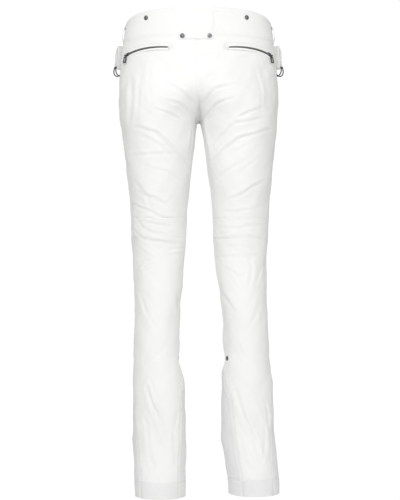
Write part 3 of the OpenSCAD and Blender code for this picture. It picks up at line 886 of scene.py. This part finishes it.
# Each has its dark and light colours and its roughness. Cloth also has its sheen, the pitch of its
# threads and the depth of its weave.
MATERIALS = {
    "shell_fabric": woven("white_shell_cloth", (0.86, 0.86, 0.845), (0.9, 0.9, 0.89),
                          0.62, 0.12, 0.00055, 0.0003),
    "band_fabric": woven("white_band_cloth", (0.865, 0.865, 0.85), (0.9, 0.9, 0.89),
                         0.66, 0.12, 0.0006, 0.0003),
    # painted shade: the hem's cloth is made darker than the shell's, for the shade on the bottom of the
    # legs.
    "hem_fabric": woven("white_hem_cloth_painted_shade", (0.77, 0.77, 0.765), (0.83, 0.83, 0.825),
                        0.68, 0.12, 0.0006, 0.0003),
    # painted shade: the gussets' cloth is made darker than the shell's, for the shade down the sides of the
    # lower legs.
    "gusset_fabric": woven("white_gusset_cloth_painted_shade", (0.775, 0.775, 0.775), (0.835, 0.835, 0.835),
                           0.6, 0.1, 0.0005, 0.0003),
    "strap_fabric": woven("white_strap_cloth", (0.84, 0.84, 0.83), (0.89, 0.89, 0.88),
                          0.66, 0.15, 0.0008, 0.0004),
    "lining": woven("cream_lining_cloth", (0.78, 0.76, 0.71), (0.84, 0.82, 0.77),
                    0.5, 0.1, 0.0004, 0.0002),
    "zip_coil": moulded("dark_zip_coil", (0.085, 0.085, 0.076), (0.14, 0.14, 0.126), 0.5),
    "zip_metal": metal("gunmetal_zip", (0.06, 0.06, 0.064), (0.15, 0.15, 0.155), 0.32),
    "ring_wire": metal("gunmetal_ring", (0.05, 0.05, 0.055), (0.12, 0.12, 0.125), 0.3),
    "snap_metal": metal("gunmetal_snap", (0.17, 0.17, 0.178), (0.34, 0.34, 0.345), 0.3),
}
THREAD = woven("white_thread", (0.84, 0.84, 0.83), (0.9, 0.9, 0.89), 0.5, 0.2, 0.0004, 0.0001)


def finish(piece, body, slot, *nodes, material=None):
    """Says what a piece rides on, which CAD nodes it stands for, and its material's slot.

    body is None for a piece that lies between two bodies, and it is then left without a parent.
    """
    if body:
        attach(piece, body)
    if nodes:
        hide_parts(*nodes)
    piece.data.materials.clear()
    piece.data.materials.append(material or MATERIALS[slot])


# ---- Small solid pieces ----
class Solids:
    """Collects closed shapes that become one mesh."""

    def __init__(self):
        self.points, self.faces = [], []

    def add(self, points, faces):
        """Adds one closed shape."""
        n = len(self.points)
        self.points += [Vector(p) for p in points]
        self.faces += [[n + i for i in f] for f in faces]

    def tube(self, centres, radii, sides=8, closed=False):
        """Rings round a path, capped at both ends unless the path closes on itself."""
        centres = [Vector(c) for c in centres]
        n, points = len(centres), []
        side = None
        for k, (c, r) in enumerate(zip(centres, radii)):
            ahead = centres[(k + 1) % n] if closed or k < n - 1 else c
            behind = centres[k - 1] if closed or k > 0 else c
            along_path = (ahead - behind).normalized()
            side = along_path.orthogonal() if side is None else side - along_path * side.dot(along_path)
            side.normalize()
            other = along_path.cross(side)
            for a in range(sides):
                turn = 2 * math.pi * a / sides
                points.append(c + (side * math.cos(turn) + other * math.sin(turn)) * r)
        self.add(points, ring_faces(n, sides, closed))

    def pill(self, a, b, r, sides=6):
        """A rounded rod from a to b, such as one stitch."""
        a, b = Vector(a), Vector(b)
        step = (b - a).normalized() * r
        centres = [a - step * 0.9, a - step * 0.4, a + step * 0.4,
                   b - step * 0.4, b + step * 0.4, b + step * 0.9]
        self.tube(centres, [r * share for share in (0.35, 0.85, 1, 1, 0.85, 0.35)], sides)

    def lathe(self, profile, centre, axis, sides=40):
        """A turned shape: profile holds (radius, height) in mm along the axis."""
        axis = Vector(axis).normalized()
        side = axis.orthogonal().normalized()
        other = axis.cross(side)
        points = []
        for r, h in profile:
            for a in range(sides):
                turn = 2 * math.pi * a / sides
                out = side * math.cos(turn) + other * math.sin(turn)
                points.append(Vector(centre) + (out * r + axis * h) * MM)
        self.add(points, ring_faces(len(profile), sides, False))

    def sweep(self, sections):
        """A closed outline carried along a path: sections are lists of points of equal length."""
        self.add([p for section in sections for p in section],
                 ring_faces(len(sections), len(sections[0]), False))

    def piece(self, name, smooth_under=40):
        """All the shapes as one object, smooth where its faces turn less than so many degrees."""
        piece = new_piece(name, self.points, self.faces)
        face_outwards(piece)
        piece.data.set_sharp_from_angle(angle=math.radians(smooth_under))
        return piece


def ring_faces(n_rings, sides, closed):
    """The faces between rings of points, with both ends capped unless the rings close on themselves."""
    faces = []
    for k in range(n_rings if closed else n_rings - 1):
        m = (k + 1) % n_rings
        for a in range(sides):
            b = (a + 1) % sides
            faces.append([k * sides + a, k * sides + b, m * sides + b, m * sides + a])
    if not closed:
        faces.append(list(range(sides))[::-1])
        faces.append([(n_rings - 1) * sides + a for a in range(sides)])
    return faces


def face_outwards(piece):
    """Turns every face of a closed piece to point out of it."""
    mesh = bmesh.new()
    mesh.from_mesh(piece.data)
    bmesh.ops.recalc_face_normals(mesh, faces=mesh.faces)
    mesh.to_mesh(piece.data)
    mesh.free()


def place(solids, name, body, slot, *nodes, smooth_under=40):
    """Makes the collected shapes into a finished piece."""
    finish(solids.piece(name, smooth_under), body, slot, *nodes)


def stitching(solids, name, body, slot):
    """Makes the collected stitches into a finished piece."""
    piece = solids.piece(name)
    finish(piece, body, slot, material=THREAD)
    return piece


def cad_mesh(mesh_data):
    """A CAD node's mesh to edit, with its corners joined."""
    mesh = bmesh.new()
    mesh.from_mesh(mesh_data)
    bmesh.ops.remove_doubles(mesh, verts=mesh.verts, dist=0.01 * MM)
    return mesh


def refined(node, body, slot, width, smooth_under=30):
    """A CAD piece with its flat faces whole and its corners rounded."""
    piece = bpy.data.objects.new(f"{node}_detail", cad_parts[node].data.copy())
    bpy.context.scene.collection.objects.link(piece)
    mesh = cad_mesh(piece.data)
    bmesh.ops.dissolve_limit(mesh, angle_limit=math.radians(2), verts=mesh.verts, edges=mesh.edges)
    corners = [e for e in mesh.edges if len(e.link_faces) == 2 and e.calc_face_angle() > 0.6]
    bmesh.ops.bevel(mesh, geom=corners, offset=width, segments=3, affect="EDGES", clamp_overlap=True)
    bmesh.ops.triangulate(mesh, faces=[f for f in mesh.faces if len(f.verts) > 4])
    mesh.to_mesh(piece.data)
    mesh.free()
    piece.data.polygons.foreach_set("use_smooth", [True] * len(piece.data.polygons))
    piece.data.set_sharp_from_angle(angle=math.radians(smooth_under))
    finish(piece, body, slot, node)


def islands(node):
    """The separate solids of a CAD node, as one array of corner points for each."""
    mesh = cad_mesh(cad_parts[node].data)
    seen, found = set(), []
    for start in mesh.verts:
        if start in seen:
            continue
        seen.add(start)
        stack, group = [start], []
        while stack:
            v = stack.pop()
            group.append(v.co.copy())
            near = [e.other_vert(v) for e in v.link_edges if e.other_vert(v) not in seen]
            seen.update(near)
            stack += near
        found.append(np.array(group))
    mesh.free()
    return found


def button_axis(points, inside):
    """A button's base centre and outward axis, from the CAD button's points."""
    middle = (points.max(0) + points.min(0)) / 2
    axis = np.linalg.svd(points - points.mean(0), full_matrices=False)[2][2]
    axis = axis if axis @ (middle - inside) > 0 else -axis
    base = middle + axis * ((points - middle) @ axis).min()
    return Vector(base), Vector(axis)


# A button's (radius, height) profile in mm, from its base to the middle of its face.
RIVET = ((2.6, 0.0), (5.0, 0.0), (5.0, 0.45), (4.8, 0.7), (4.2, 0.8), (3.5, 0.62), (3.2, 0.66), (3.0, 1.05),
         (2.5, 1.5), (1.6, 1.82), (0.7, 1.94), (0.02, 1.97))
SNAP_CAP = ((2.6, 0.0), (5.0, 0.0), (5.0, 0.5), (4.85, 0.85), (4.4, 1.15), (3.4, 1.4), (2.6, 1.42),
            (2.3, 1.3), (1.6, 1.3), (1.2, 1.45), (0.6, 1.6), (0.02, 1.65))
STUD = ((2.0, 0.0), (4.0, 0.0), (4.0, 0.4), (3.2, 0.6), (2.0, 0.65), (1.9, 1.1), (1.6, 1.28), (0.02, 1.3))


def buttons(node, body, profile, inside=None):
    """Turned buttons where a node's CAD buttons are.

    inside is the (x, y) of a leg's middle, and sets the buttons on that leg's cloth.
    """
    solids = Solids()
    profile = ((profile[0][0], -0.8), *profile)
    for points in sorted(islands(node), key=lambda p: p[:, 0].mean()):
        inward = np.array([*(inside or (0, 0)), points.mean(0)[2]])
        base, axis = button_axis(points, inward)
        if inside is not None:
            base = SKIN.find_nearest(base)[0]
        solids.lathe(profile, base, axis)
    place(solids, f"{node}_detail", body, "snap_metal", node, smooth_under=35)


# ---- Stitching ----
def sew(solids, path, normals, proud=0.25 * MM, length=3.0 * MM, gap=1.1 * MM, r=0.28 * MM):
    """Stitches end to end along a path of surface points."""
    path = np.asarray(path, float) + np.asarray(normals, float) * proud
    run = np.concatenate([[0], np.cumsum(np.linalg.norm(np.diff(path, axis=0), axis=1))])
    for start in np.arange(gap, run[-1] - length, length + gap):
        ends = [[np.interp(d, run, path[:, k]) for k in range(3)] for d in (start, start + length)]
        solids.pill(*ends, r)


GUSSET_STITCH_TOP = -0.79


def row_path(side, row, first=0, last=COLUMNS):
    """A row's points and normals, for a seam that runs round a leg."""
    at = cloth.at[side][row, first:last + 1]
    return cloth.points[at], NORMALS[at]


def column_path(side, k, shift, first, last):
    """Points beside a gusset's seam, shift columns away from it."""
    cut = CUTS[side]
    at = [cut.at[i, min(max(cut.column[i][k] + shift, 0), COLUMNS)] for i in range(first, last)]
    base = [cut.at[i, cut.column[i][k]] for i in range(first, last)]
    near = 0.35 * cut.points[base] + 0.65 * cloth.points[at]
    return near, NORMALS[at]


def leg_stitches(side):
    knee, gusset, hem = Solids(), Solids(), Solids()
    for row, first, last in cross_seams(side)[:3]:
        for beside in (row - 1, row + 1):
            sew(knee, *row_path(side, beside, first, last))
    for k, shift in ((0, 1), (1, -1), (2, 1), (3, -1)):
        sew(gusset, *column_path(side, k, shift, nearest_row(side, GUSSET_STITCH_TOP), HEM_ROW[side]))
    sew(hem, *row_path(side, HEM_ROW[side] - 1))
    sew(hem, *row_path(side, len(cloth.rows[side]) - 3), 0.75 * MM)
    bend_at_knee(stitching(knee, f"knee_stitching_{side}", None, "shell_fabric"))
    stitching(gusset, f"gusset_stitching_{side}", f"shin_{side}", "shell_fabric")
    stitching(hem, f"hem_stitching_{side}", f"shin_{side}", "shell_fabric")


def band_stitches():
    solids = Solids()
    for side in SIDES:
        for row in (RIM_SEAM_ROW + 1, BAND_ROWS - 1):
            sew(solids, *row_path(side, row), 0.95 * MM)
        sew(solids, *row_path(side, BAND_ROWS + 1))
    stitching(solids, "waistband_stitching", "pants", "band_fabric")


# ---- The waist's tabs, loops and facing ----
def band_surface(theta, share):
    """A point on the band's visible face and its normal. theta is 0 at the left and 90 at the back."""
    dx, dy = WAIST[0] * math.cos(math.radians(theta)), WAIST[1] * math.sin(math.radians(theta))
    rim, seam = rim_at(dx, dy), seam_at(dx, dy)
    z = rim + (seam - rim) * share
    length = math.hypot(dx, dy)
    out = Vector((dx / length, dy / length, 0))
    found, normal = SKIN.ray_cast(out * FAR + Vector((0, 0, z)), -out)[:2]
    if normal.dot(out) < 0:
        normal = -normal
    return found + normal * (BAND_LIFT if share <= 1 else 0.0), normal


def band_strip(theta, half_w, shares, proud, columns):
    """A grid for grid_cloth: a strip that lies down the band.

    It is half_w mm to either side of theta. shares says how far down the band each row is, and proud
    how many mm it stands off.
    """
    dx, dy = WAIST[0] * math.sin(math.radians(theta)), WAIST[1] * math.cos(math.radians(theta))
    turn = math.degrees(half_w * MM / math.hypot(dx, dy))
    points, normals, uvs = [], [], []
    for share, off in zip(shares, proud):
        for k in range(columns + 1):
            side = 2 * k / columns - 1
            p, n = band_surface(theta + turn * side, share)
            edge = 0.25 * (1 - abs(side) ** 6)
            points.append(p + n * (off + edge) * MM)
            normals.append(n)
            uvs.append((side * half_w * MM, p.z))
    return points, normals, uvs, False


def strip_faces(rows, columns, flip=False):
    """The faces of a grid whose points are numbered row by row."""
    w = columns + 1
    faces = []
    for i in range(rows - 1):
        for j in range(columns):
            f = [i * w + j, i * w + j + 1, (i + 1) * w + j + 1, (i + 1) * w + j]
            faces.append(f[::-1] if flip else f)
    return faces


def grid_cloth(name, grids, columns, thick):
    """One closed piece of cloth. Each grid is its points, normals, weave places, and whether to flip it."""
    points, normals, faces, uvs = [], [], [], []
    for p, n, uv, flip in grids:
        start = len(points)
        points += list(p)
        normals += list(n)
        for f in strip_faces(len(p) // (columns + 1), columns, flip):
            faces.append([start + i for i in f])
            uvs.append([tuple(uv[i]) for i in f])
    return solid_cloth(name, np.array(points), faces, np.array(normals), uvs, thick)


STRIP_THICK = 1.1 * MM
LOOP_TURNS, LOOP_HALF, LOOP_COLUMNS = (4, 176, -38, 218), 6, 6
LOOP_SHARES = (0.08, 0.12, 0.18, 0.24, 0.3, 0.5, 0.7, 0.82, 0.88, 0.94, 0.99, 1.03)
LOOP_PROUD = (1.3, 1.45, 1.5, 2.3, 3.5, 3.9, 3.9, 3.6, 2.4, 1.5, 1.4, 1.3)
TAB_TURN, TAB_HALF, TAB_COLUMNS = 88.2, 36, 24
TAB_SHARES = (0.15, 0.18, 0.24, 0.3, 0.36, 0.55, 0.74, 0.82, 0.88, 0.96, 1.08, 1.14, 1.16)
TAB_PROUD = (1.1, 1.3, 1.4, 1.6, 1.9, 2.0, 1.9, 1.8, 1.7, 1.7, 1.5, 1.3, 1.2)


def sewn_strips(node, strips, columns):
    piece = grid_cloth(f"{node}_cloth", strips, columns, STRIP_THICK)
    face_outwards(piece)
    finish(piece, "pants", "band_fabric", node)


def belt_loops():
    loops = [band_strip(t, LOOP_HALF, LOOP_SHARES, LOOP_PROUD, LOOP_COLUMNS) for t in LOOP_TURNS]
    sewn_strips("belt_loops", loops, LOOP_COLUMNS)


def back_tab():
    """The wide tab at the centre back, sewn round its edge."""
    tab = band_strip(TAB_TURN, TAB_HALF, TAB_SHARES, TAB_PROUD, TAB_COLUMNS)
    sewn_strips("back_tab", [tab], TAB_COLUMNS)
    thread = Solids()
    points, normals = np.array([list(p) for p in tab[0]]), np.array([list(n) for n in tab[1]])
    grid = np.arange(len(points)).reshape(-1, TAB_COLUMNS + 1)
    for line in (grid[:, 1], grid[:, -2], grid[1, 1:-1], grid[-2, 1:-1]):
        sew(thread, points[line], normals[line], 0.2 * MM)
    stitching(thread, "back_tab_stitching", "pants", "band_fabric")


def facing():
    """The soft inner layer of the waistband."""
    grids = []
    for side in SIDES:
        cut = CUTS[side]
        at = cut.at[1:BAND_ROWS].ravel()
        grids.append((cloth.points[at] - NORMALS[at] * 3.1 * MM, NORMALS[at],
                      cut.coords[1:BAND_ROWS].reshape(-1, 2), side == "left"))
    piece = grid_cloth("waistband_facing_cloth", grids, COLUMNS, CLOTH_THICK)
    finish(piece, "pants", "lining", "waistband_facing")


def rounded_outline(x0, x1, z0, z1, r, steps=7):
    """The corners of a rounded rectangle, going round."""
    outline = []
    corners = ((x1 - r, z1 - r), (x0 + r, z1 - r), (x0 + r, z0 + r), (x1 - r, z0 + r))
    for (cx, cz), start in zip(corners, (0, 90, 180, 270)):
        for k in range(steps):
            a = math.radians(start + 90 * k / (steps - 1))
            outline.append((cx + r * math.cos(a), cz + r * math.sin(a)))
    return outline


def waist_tab():
    """The front tab: two layers of cloth with a turned edge, and stitching round it."""
    low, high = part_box("waist_tab")
    x0, x1, z0, z1 = (v * 1000 for v in (low.x, high.x, low.z, high.z))
    y_in, y_out = high.y * 1000, low.y * 1000
    layers = ((1.2, y_in), (0.3, y_in - 0.25), (0.0, y_in - 0.8), (0.3, y_out + 0.3), (1.2, y_out))
    sections = []
    for inset, y in layers:
        outline = rounded_outline(x0 + inset, x1 - inset, z0 + inset, z1 - inset, 5.5 - inset)
        sections.append([Vector((x, y, z)) * MM for x, z in outline])
    solids = Solids()
    solids.sweep(sections)
    place(solids, "waist_tab_cloth", "waist_tab", "band_fabric", "waist_tab", smooth_under=60)
    thread = Solids()
    line = rounded_outline(x0 + 2.6, x1 - 2.6, z0 + 2.6, z1 - 2.6, 3.5)
    line = np.array([(x * MM, y_out * MM, z * MM) for x, z in line + line[:1]])
    sew(thread, line, np.tile([0.0, -1.0, 0.0], (len(line), 1)), 0.1 * MM)
    stitching(thread, "waist_tab_stitching", "waist_tab", "band_fabric")


# ---- Zips ----
COIL_PITCH = 1.5              # mm from tooth to tooth
TAPE = ((-1.9, -5.4), (-1.9, 5.4), (-1.4, 5.4), (-1.3, 1.2), (-1.0, 0), (-1.3, -1.2), (-1.4, -5.4))


def zip_chain(name, node, frame_at, ends, scale=1.0):
    """A coil zip: its tape, and the interlocked coils as small pills across the middle.

    frame_at(t, out, across) is a point of the zip, and scale is how many mm long one step of t is.
    """
    solids = Solids()
    solids.sweep([[frame_at(t, out, across) for out, across in TAPE] for t in np.linspace(*ends, 48)])
    count = int(abs(ends[1] - ends[0]) * scale / COIL_PITCH)
    for k, t in enumerate(np.linspace(ends[0], ends[1], count)):
        for sign in (-1, 1):
            shift = t + sign * (ends[1] - ends[0]) / count / 4
            solids.pill(frame_at(shift, -0.3, sign * 2.3), frame_at(shift, 0.1, -sign * 0.5), 0.42 * MM)
    place(solids, name, "pants", "zip_coil", node, smooth_under=50)


# The section of a folded lip of cloth, as (out, across) in mm from the zip's line.
WELT = ((-0.9, 7.2), (0.3, 6.6), (0.85, 5.6), (0.95, 4.2), (0.8, 3.0), (0.1, 2.2), (-0.7, 2.1), (-1.2, 2.4),
        (-1.3, 3.4), (-0.8, 4.4), (-0.7, 5.6), (-1.6, 7.0))


def welt_section(side, sign, share):
    """A welt's section, share of the way along it: pinched at its ends, and nearly shut at the inner one."""
    a = ARC_FROM - 1.6 + (ARC_SWEEP + 3.2) * share
    pinch = min(1.0, (min(share, 1 - share) + 0.004) * 26)
    rise = 0.12 * math.sin(a * 2.1 + sign)
    shut = 1.3 * share
    section = [arc_point(side, a, (out + rise) * (0.4 + 0.6 * pinch),
                         sign * (0.5 - shut + across * (0.3 + 0.7 * pinch))) for out, across in WELT]
    outward = (arc_point(side, a, 2, 0) - arc_point(side, a, 0, 0)).normalized()
    return section, list(arc_point(side, a, 0.95, sign * 5.6)), list(outward)


def pocket_welts(side):
    """The two folded lips of cloth that meet over a back pocket's zip."""
    for sign, name in ((1, "upper"), (-1, "lower")):
        welt, thread = Solids(), Solids()
        sections, line, outward = zip(*[welt_section(side, sign, t) for t in np.linspace(0, 1, 56)])
        welt.sweep(sections)
        place(welt, f"pocket_welt_{name}_{side}", "pants", "shell_fabric", smooth_under=60)
        sew(thread, line[3:-3], outward[3:-3], 0.05 * MM)
        stitching(thread, f"pocket_stitching_{name}_{side}", "pants", "shell_fabric")


# ---- Side straps and rings ----
STRAP_TOP, STRAP_HEADING = (166.8, -19, -68), -40    # where it leaves the hip, in mm, and its heading
LOOP_MID = (7.5, 0, -46)                             # the middle of the fold that holds the rings
WIRE = 1.27 * MM                                     # the rings' radius of wire


def strap_point(side, x, y, z):
    """A point of a strap's own frame: x out of the hip, y across the strap and z up, in mm."""
    p = Matrix.Rotation(math.radians(STRAP_HEADING), 3, "Z") @ Vector((x, y, z)) + Vector(STRAP_TOP)
    return Vector((p.x * SIGN[side], p.y, p.z)) * MM


def strap_path():
    """The strap's middle line as (x, z) in its own frame: down outside, round the rings, and up inside."""
    outer = [(0.7, 0.0), (2.4, -2.4), (5.2, -6.5), (8.2, -13), (10.2, -21), (11.2, -31), (11.35, -40)]
    loop = [(7.5 + 3.8 * math.cos(a), -46 + 3.8 * math.sin(a)) for a in np.radians(np.linspace(0, -180, 11))]
    inner = [(3.7, -40), (3.0, -31), (2.1, -21), (1.1, -13), (0.5, -6.5), (0.2, -2.4)]
    return outer + loop + inner


def strap_surface(side, point, way, across, crown):
    """A point on a strap: the free part of it waves a little and is drawn in."""
    (x, z), (tx, tz) = point, way
    free = max(0.0, min(1.0, (z + 44) / 12)) * max(0.0, min(1.0, -z / 10))
    wave = free * (0.55 * math.sin(0.55 * across + 0.16 * z) + 0.35 * math.sin(0.9 * across - 0.31 * z))
    narrow = 1 - 0.12 * free * (0.6 + 0.4 * math.sin(0.21 * z))
    off = crown + 0.35 * wave
    return strap_point(side, x - tz * off, across * narrow, z + tx * off)


def side_strap(side):
    """A strap folded round its rings: soft, a little twisted, full at its edges and sewn along them."""
    path = np.array(strap_path())
    way = np.gradient(path, axis=0)
    way /= np.linalg.norm(way, axis=1, keepdims=True)
    turns = [2 * math.pi * k / 24 for k in range(24)]
    outline = [(10 * math.copysign(abs(math.cos(a)) ** 0.35, math.cos(a)),
                0.62 * math.copysign(abs(math.sin(a)) ** 0.5, math.sin(a))) for a in turns]
    solids, thread = Solids(), Solids()
    solids.sweep([[strap_surface(side, p, w, *spot) for spot in outline] for p, w in zip(path, way)])
    place(solids, f"side_strap_{side}_cloth", f"strap_{side}", "strap_fabric", f"side_strap_{side}",
          smooth_under=75)
    lines = [[(k, across) for k in range(1, 7)] for across in (-7.9, 7.9)]
    lines += [[(k, across) for across in (-7.6, -3, 0, 3, 7.6)] for k in (1, 6)]
    for line in lines:
        points = [list(strap_surface(side, path[k], way[k], across, 0.66)) for k, across in line]
        sew(thread, points, np.zeros((len(line), 3)))
    stitching(thread, f"side_strap_stitching_{side}", f"strap_{side}", "strap_fabric")


def ring_outline():
    """A D ring's wire, as (across, down) points: a straight bar, two legs and a half circle."""
    r, corner, leg = 12.0, 2.2, 7.0
    half = [(0, 0), (4, 0), (8, 0), (r - corner, 0)]
    half += [(r - corner + corner * math.sin(a), -corner + corner * math.cos(a))
             for a in np.radians((30, 60, 90))]
    half += [(r, -4.6), (r, -leg)]
    bow = [(r * math.cos(a), -leg - r * math.sin(a)) for a in np.radians(np.linspace(9, 171, 19))]
    return half + bow + [(-y, z) for y, z in half[:0:-1]]


def d_rings(side):
    """Two wire rings side by side in the strap's fold, leaning apart."""
    solids = Solids()
    outline = ring_outline()
    for x, lean in ((-1.45, -5), (1.45, 15)):
        swing = math.radians(lean)
        path = [strap_point(side, LOOP_MID[0] + x - z * math.sin(swing), LOOP_MID[1] + y,
                            LOOP_MID[2] + z * math.cos(swing)) for y, z in outline]
        solids.tube(path, [WIRE] * len(path), 14, closed=True)
    place(solids, f"d_rings_{side}_wire", f"rings_{side}", "ring_wire", f"d_rings_{side}", smooth_under=75)


# ---- Inside the legs and pockets ----
GAITER_TOP, GAITER_END = -0.9, -1.012
GATHERS = 20


def gaiter_points(side, at):
    """The gaiter's points and normals: it draws in from the cloth at the grid points at, in gathers."""
    height = -cloth.points[at][:, :, 2]
    depth = np.interp(height, (0.9, 0.93, 0.965, 1.0, 1.012), (3.2, 5, 9, 13, 13)) * MM
    gather = np.clip((height - 0.92) / 0.07, 0, 1) * 1.3 * MM
    waves = np.sin(np.arange(COLUMNS + 1) * 2 * math.pi * GATHERS / COLUMNS)[None, :]
    normals = NORMALS[at] * [1, 1, 0]
    normals /= np.linalg.norm(normals, axis=2, keepdims=True)
    return cloth.points[at] - normals * (depth + gather * (1 + waves))[:, :, None], normals


def snow_gaiter(side):
    """An elastic cuff in the hem: gathered cloth that draws in towards the boot."""
    cut = CUTS[side]
    rows = range(nearest_row(side, GAITER_TOP), nearest_row(side, GAITER_END) + 1, 2)
    points, normals = gaiter_points(side, cut.at[list(rows)])
    grid = np.arange(points[:, :, 0].size).reshape(points.shape[:2])
    used = grid[:, :-1].ravel()
    grid[:, -1] = grid[:, 0]
    renumber = {int(old): new for new, old in enumerate(used)}
    faces, uvs = [], []
    for i in range(len(rows) - 1):
        for j in range(COLUMNS):
            corners = [(i, j), (i, j + 1), (i + 1, j + 1), (i + 1, j)]
            corners = corners[::-1] if cut.flip else corners
            faces.append([renumber[int(grid[c])] for c in corners])
            uvs.append([tuple(cut.coords[rows[a], b]) for a, b in corners])
    piece = solid_cloth(f"snow_gaiter_{side}_cloth", points.reshape(-1, 3)[used], faces,
                        normals.reshape(-1, 3)[used], uvs, 1.0 * MM)
    finish(piece, f"shin_{side}", "lining", f"snow_gaiter_{side}")


# ---- Making every piece ----
SLIDER_ROUNDING, PULL_ROUNDING, CLOTH_ROUNDING = 0.28 * MM, 0.4 * MM, 0.3 * MM


def side_pieces(side):
    leg_panels(side)
    leg_stitches(side)
    pocket_welts(side)
    zip_chain(f"back_zip_coil_{side}", f"back_zip_chain_{side}",
              lambda t, out, across: arc_point(side, t, out, across),
              (ARC_FROM + 0.3, ARC_FROM + ARC_SWEEP - 0.3), ARC_R * math.pi / 180)
    side_strap(side)
    d_rings(side)
    snow_gaiter(side)
    buttons(f"calf_snap_{side}", f"shin_{side}", SNAP_CAP, KNEE_MIDDLE[side])
    refined(f"back_zip_slider_{side}", f"back_slider_{side}", "zip_metal", SLIDER_ROUNDING)
    refined(f"back_zip_pull_{side}", f"back_pull_{side}", "zip_metal", PULL_ROUNDING)
    refined(f"back_pocket_bag_{side}", "pants", "lining", CLOTH_ROUNDING, 50)


def middle_pieces():
    waistbands()
    band_stitches()
    belt_loops()
    back_tab()
    facing()
    waist_tab()
    zip_chain("fly_zip_coil", "fly_zip_chain", fly_point, (0.5, 68.5))
    buttons("waist_rivets", "pants", RIVET)
    buttons("tab_snap_caps", "waist_tab", SNAP_CAP)
    buttons("tab_snap_studs", "pants", STUD)
    refined("fly_zip_slider", "fly_slider", "zip_metal", SLIDER_ROUNDING)
    refined("fly_zip_pull", "fly_pull", "zip_metal", PULL_ROUNDING)
    refined("fly_shield", "pants", "lining", CLOTH_ROUNDING, 50)


for part_side in SIDES:
    side_pieces(part_side)
middle_pieces()


# ---- Camera, light and floor ----
CAMERA_AWAY, CAMERA_X, CAMERA_Z = 3.0, -0.0032, -0.509
VIEW_HEIGHT = 1.075           # what the picture's height takes in, at the pants
FLOOR_R, FLOOR_Z, FLOOR_SIDES = 1.3, -1.29, 96


def add_camera():
    """A level camera straight behind the pants, as in the photograph."""
    data = bpy.data.cameras.new("camera")
    data.sensor_fit = "VERTICAL"
    data.sensor_height = 36
    data.lens = data.sensor_height * CAMERA_AWAY / VIEW_HEIGHT
    camera = bpy.data.objects.new("camera", data)
    camera.location = (CAMERA_X, CAMERA_AWAY, CAMERA_Z)
    camera.rotation_euler = (math.radians(90), 0, math.radians(180))
    bpy.context.scene.collection.objects.link(camera)
    bpy.context.scene.camera = camera


def add_softbox(name, where, size, watts):
    """A square area light that faces the middle of the pants."""
    data = bpy.data.lights.new(name, "AREA")
    data.shape = "RECTANGLE"
    data.size = data.size_y = size
    data.energy = watts
    lamp = bpy.data.objects.new(name, data)
    lamp.location = where
    middle = Vector((0, 0, -0.5))
    lamp.rotation_euler = (Vector(where) - middle).to_track_quat("Z", "Y").to_euler()
    bpy.context.scene.collection.objects.link(lamp)


def add_world():
    """White paper behind the object, and softer light from all round."""
    world = bpy.data.worlds.new("studio")
    bpy.context.scene.world = world
    world.use_nodes = True
    nodes, links = world.node_tree.nodes, world.node_tree.links
    nodes.clear()
    seen, lit = nodes.new("ShaderNodeBackground"), nodes.new("ShaderNodeBackground")
    seen.inputs["Strength"].default_value = 1.05
    lit.inputs["Strength"].default_value = 0.56
    for background in (seen, lit):
        background.inputs["Color"].default_value = (1, 1, 1, 1)
    mix = nodes.new("ShaderNodeMixShader")
    links.new(nodes.new("ShaderNodeLightPath").outputs["Is Camera Ray"], mix.inputs["Fac"])
    links.new(lit.outputs[0], mix.inputs[1])
    links.new(seen.outputs[0], mix.inputs[2])
    links.new(mix.outputs[0], nodes.new("ShaderNodeOutputWorld").inputs["Surface"])


def add_floor():
    turns = np.linspace(0, 2 * math.pi, FLOOR_SIDES, False)
    ring = [(FLOOR_R * math.cos(a), FLOOR_R * math.sin(a), FLOOR_Z) for a in turns]
    floor = new_piece("studio_floor", ring, [list(range(FLOOR_SIDES))], smooth=False)
    floor.data.materials.append(Shader("pale_floor").finish(Base_Color=(0.9, 0.9, 0.9, 1), Roughness=0.9))


add_camera()
add_world()
add_floor()
for face in (1, -1):
    add_softbox(f"key_{face}", (0.5 * face, 1.9 * face, 1.3), 0.7, 22)
    add_softbox(f"fill_{face}", (-0.5 * face, 2.7 * face, -0.1), 1.4, 21)
bpy.context.scene.view_settings.view_transform = "Standard"
bpy.context.scene.view_settings.look = "None"
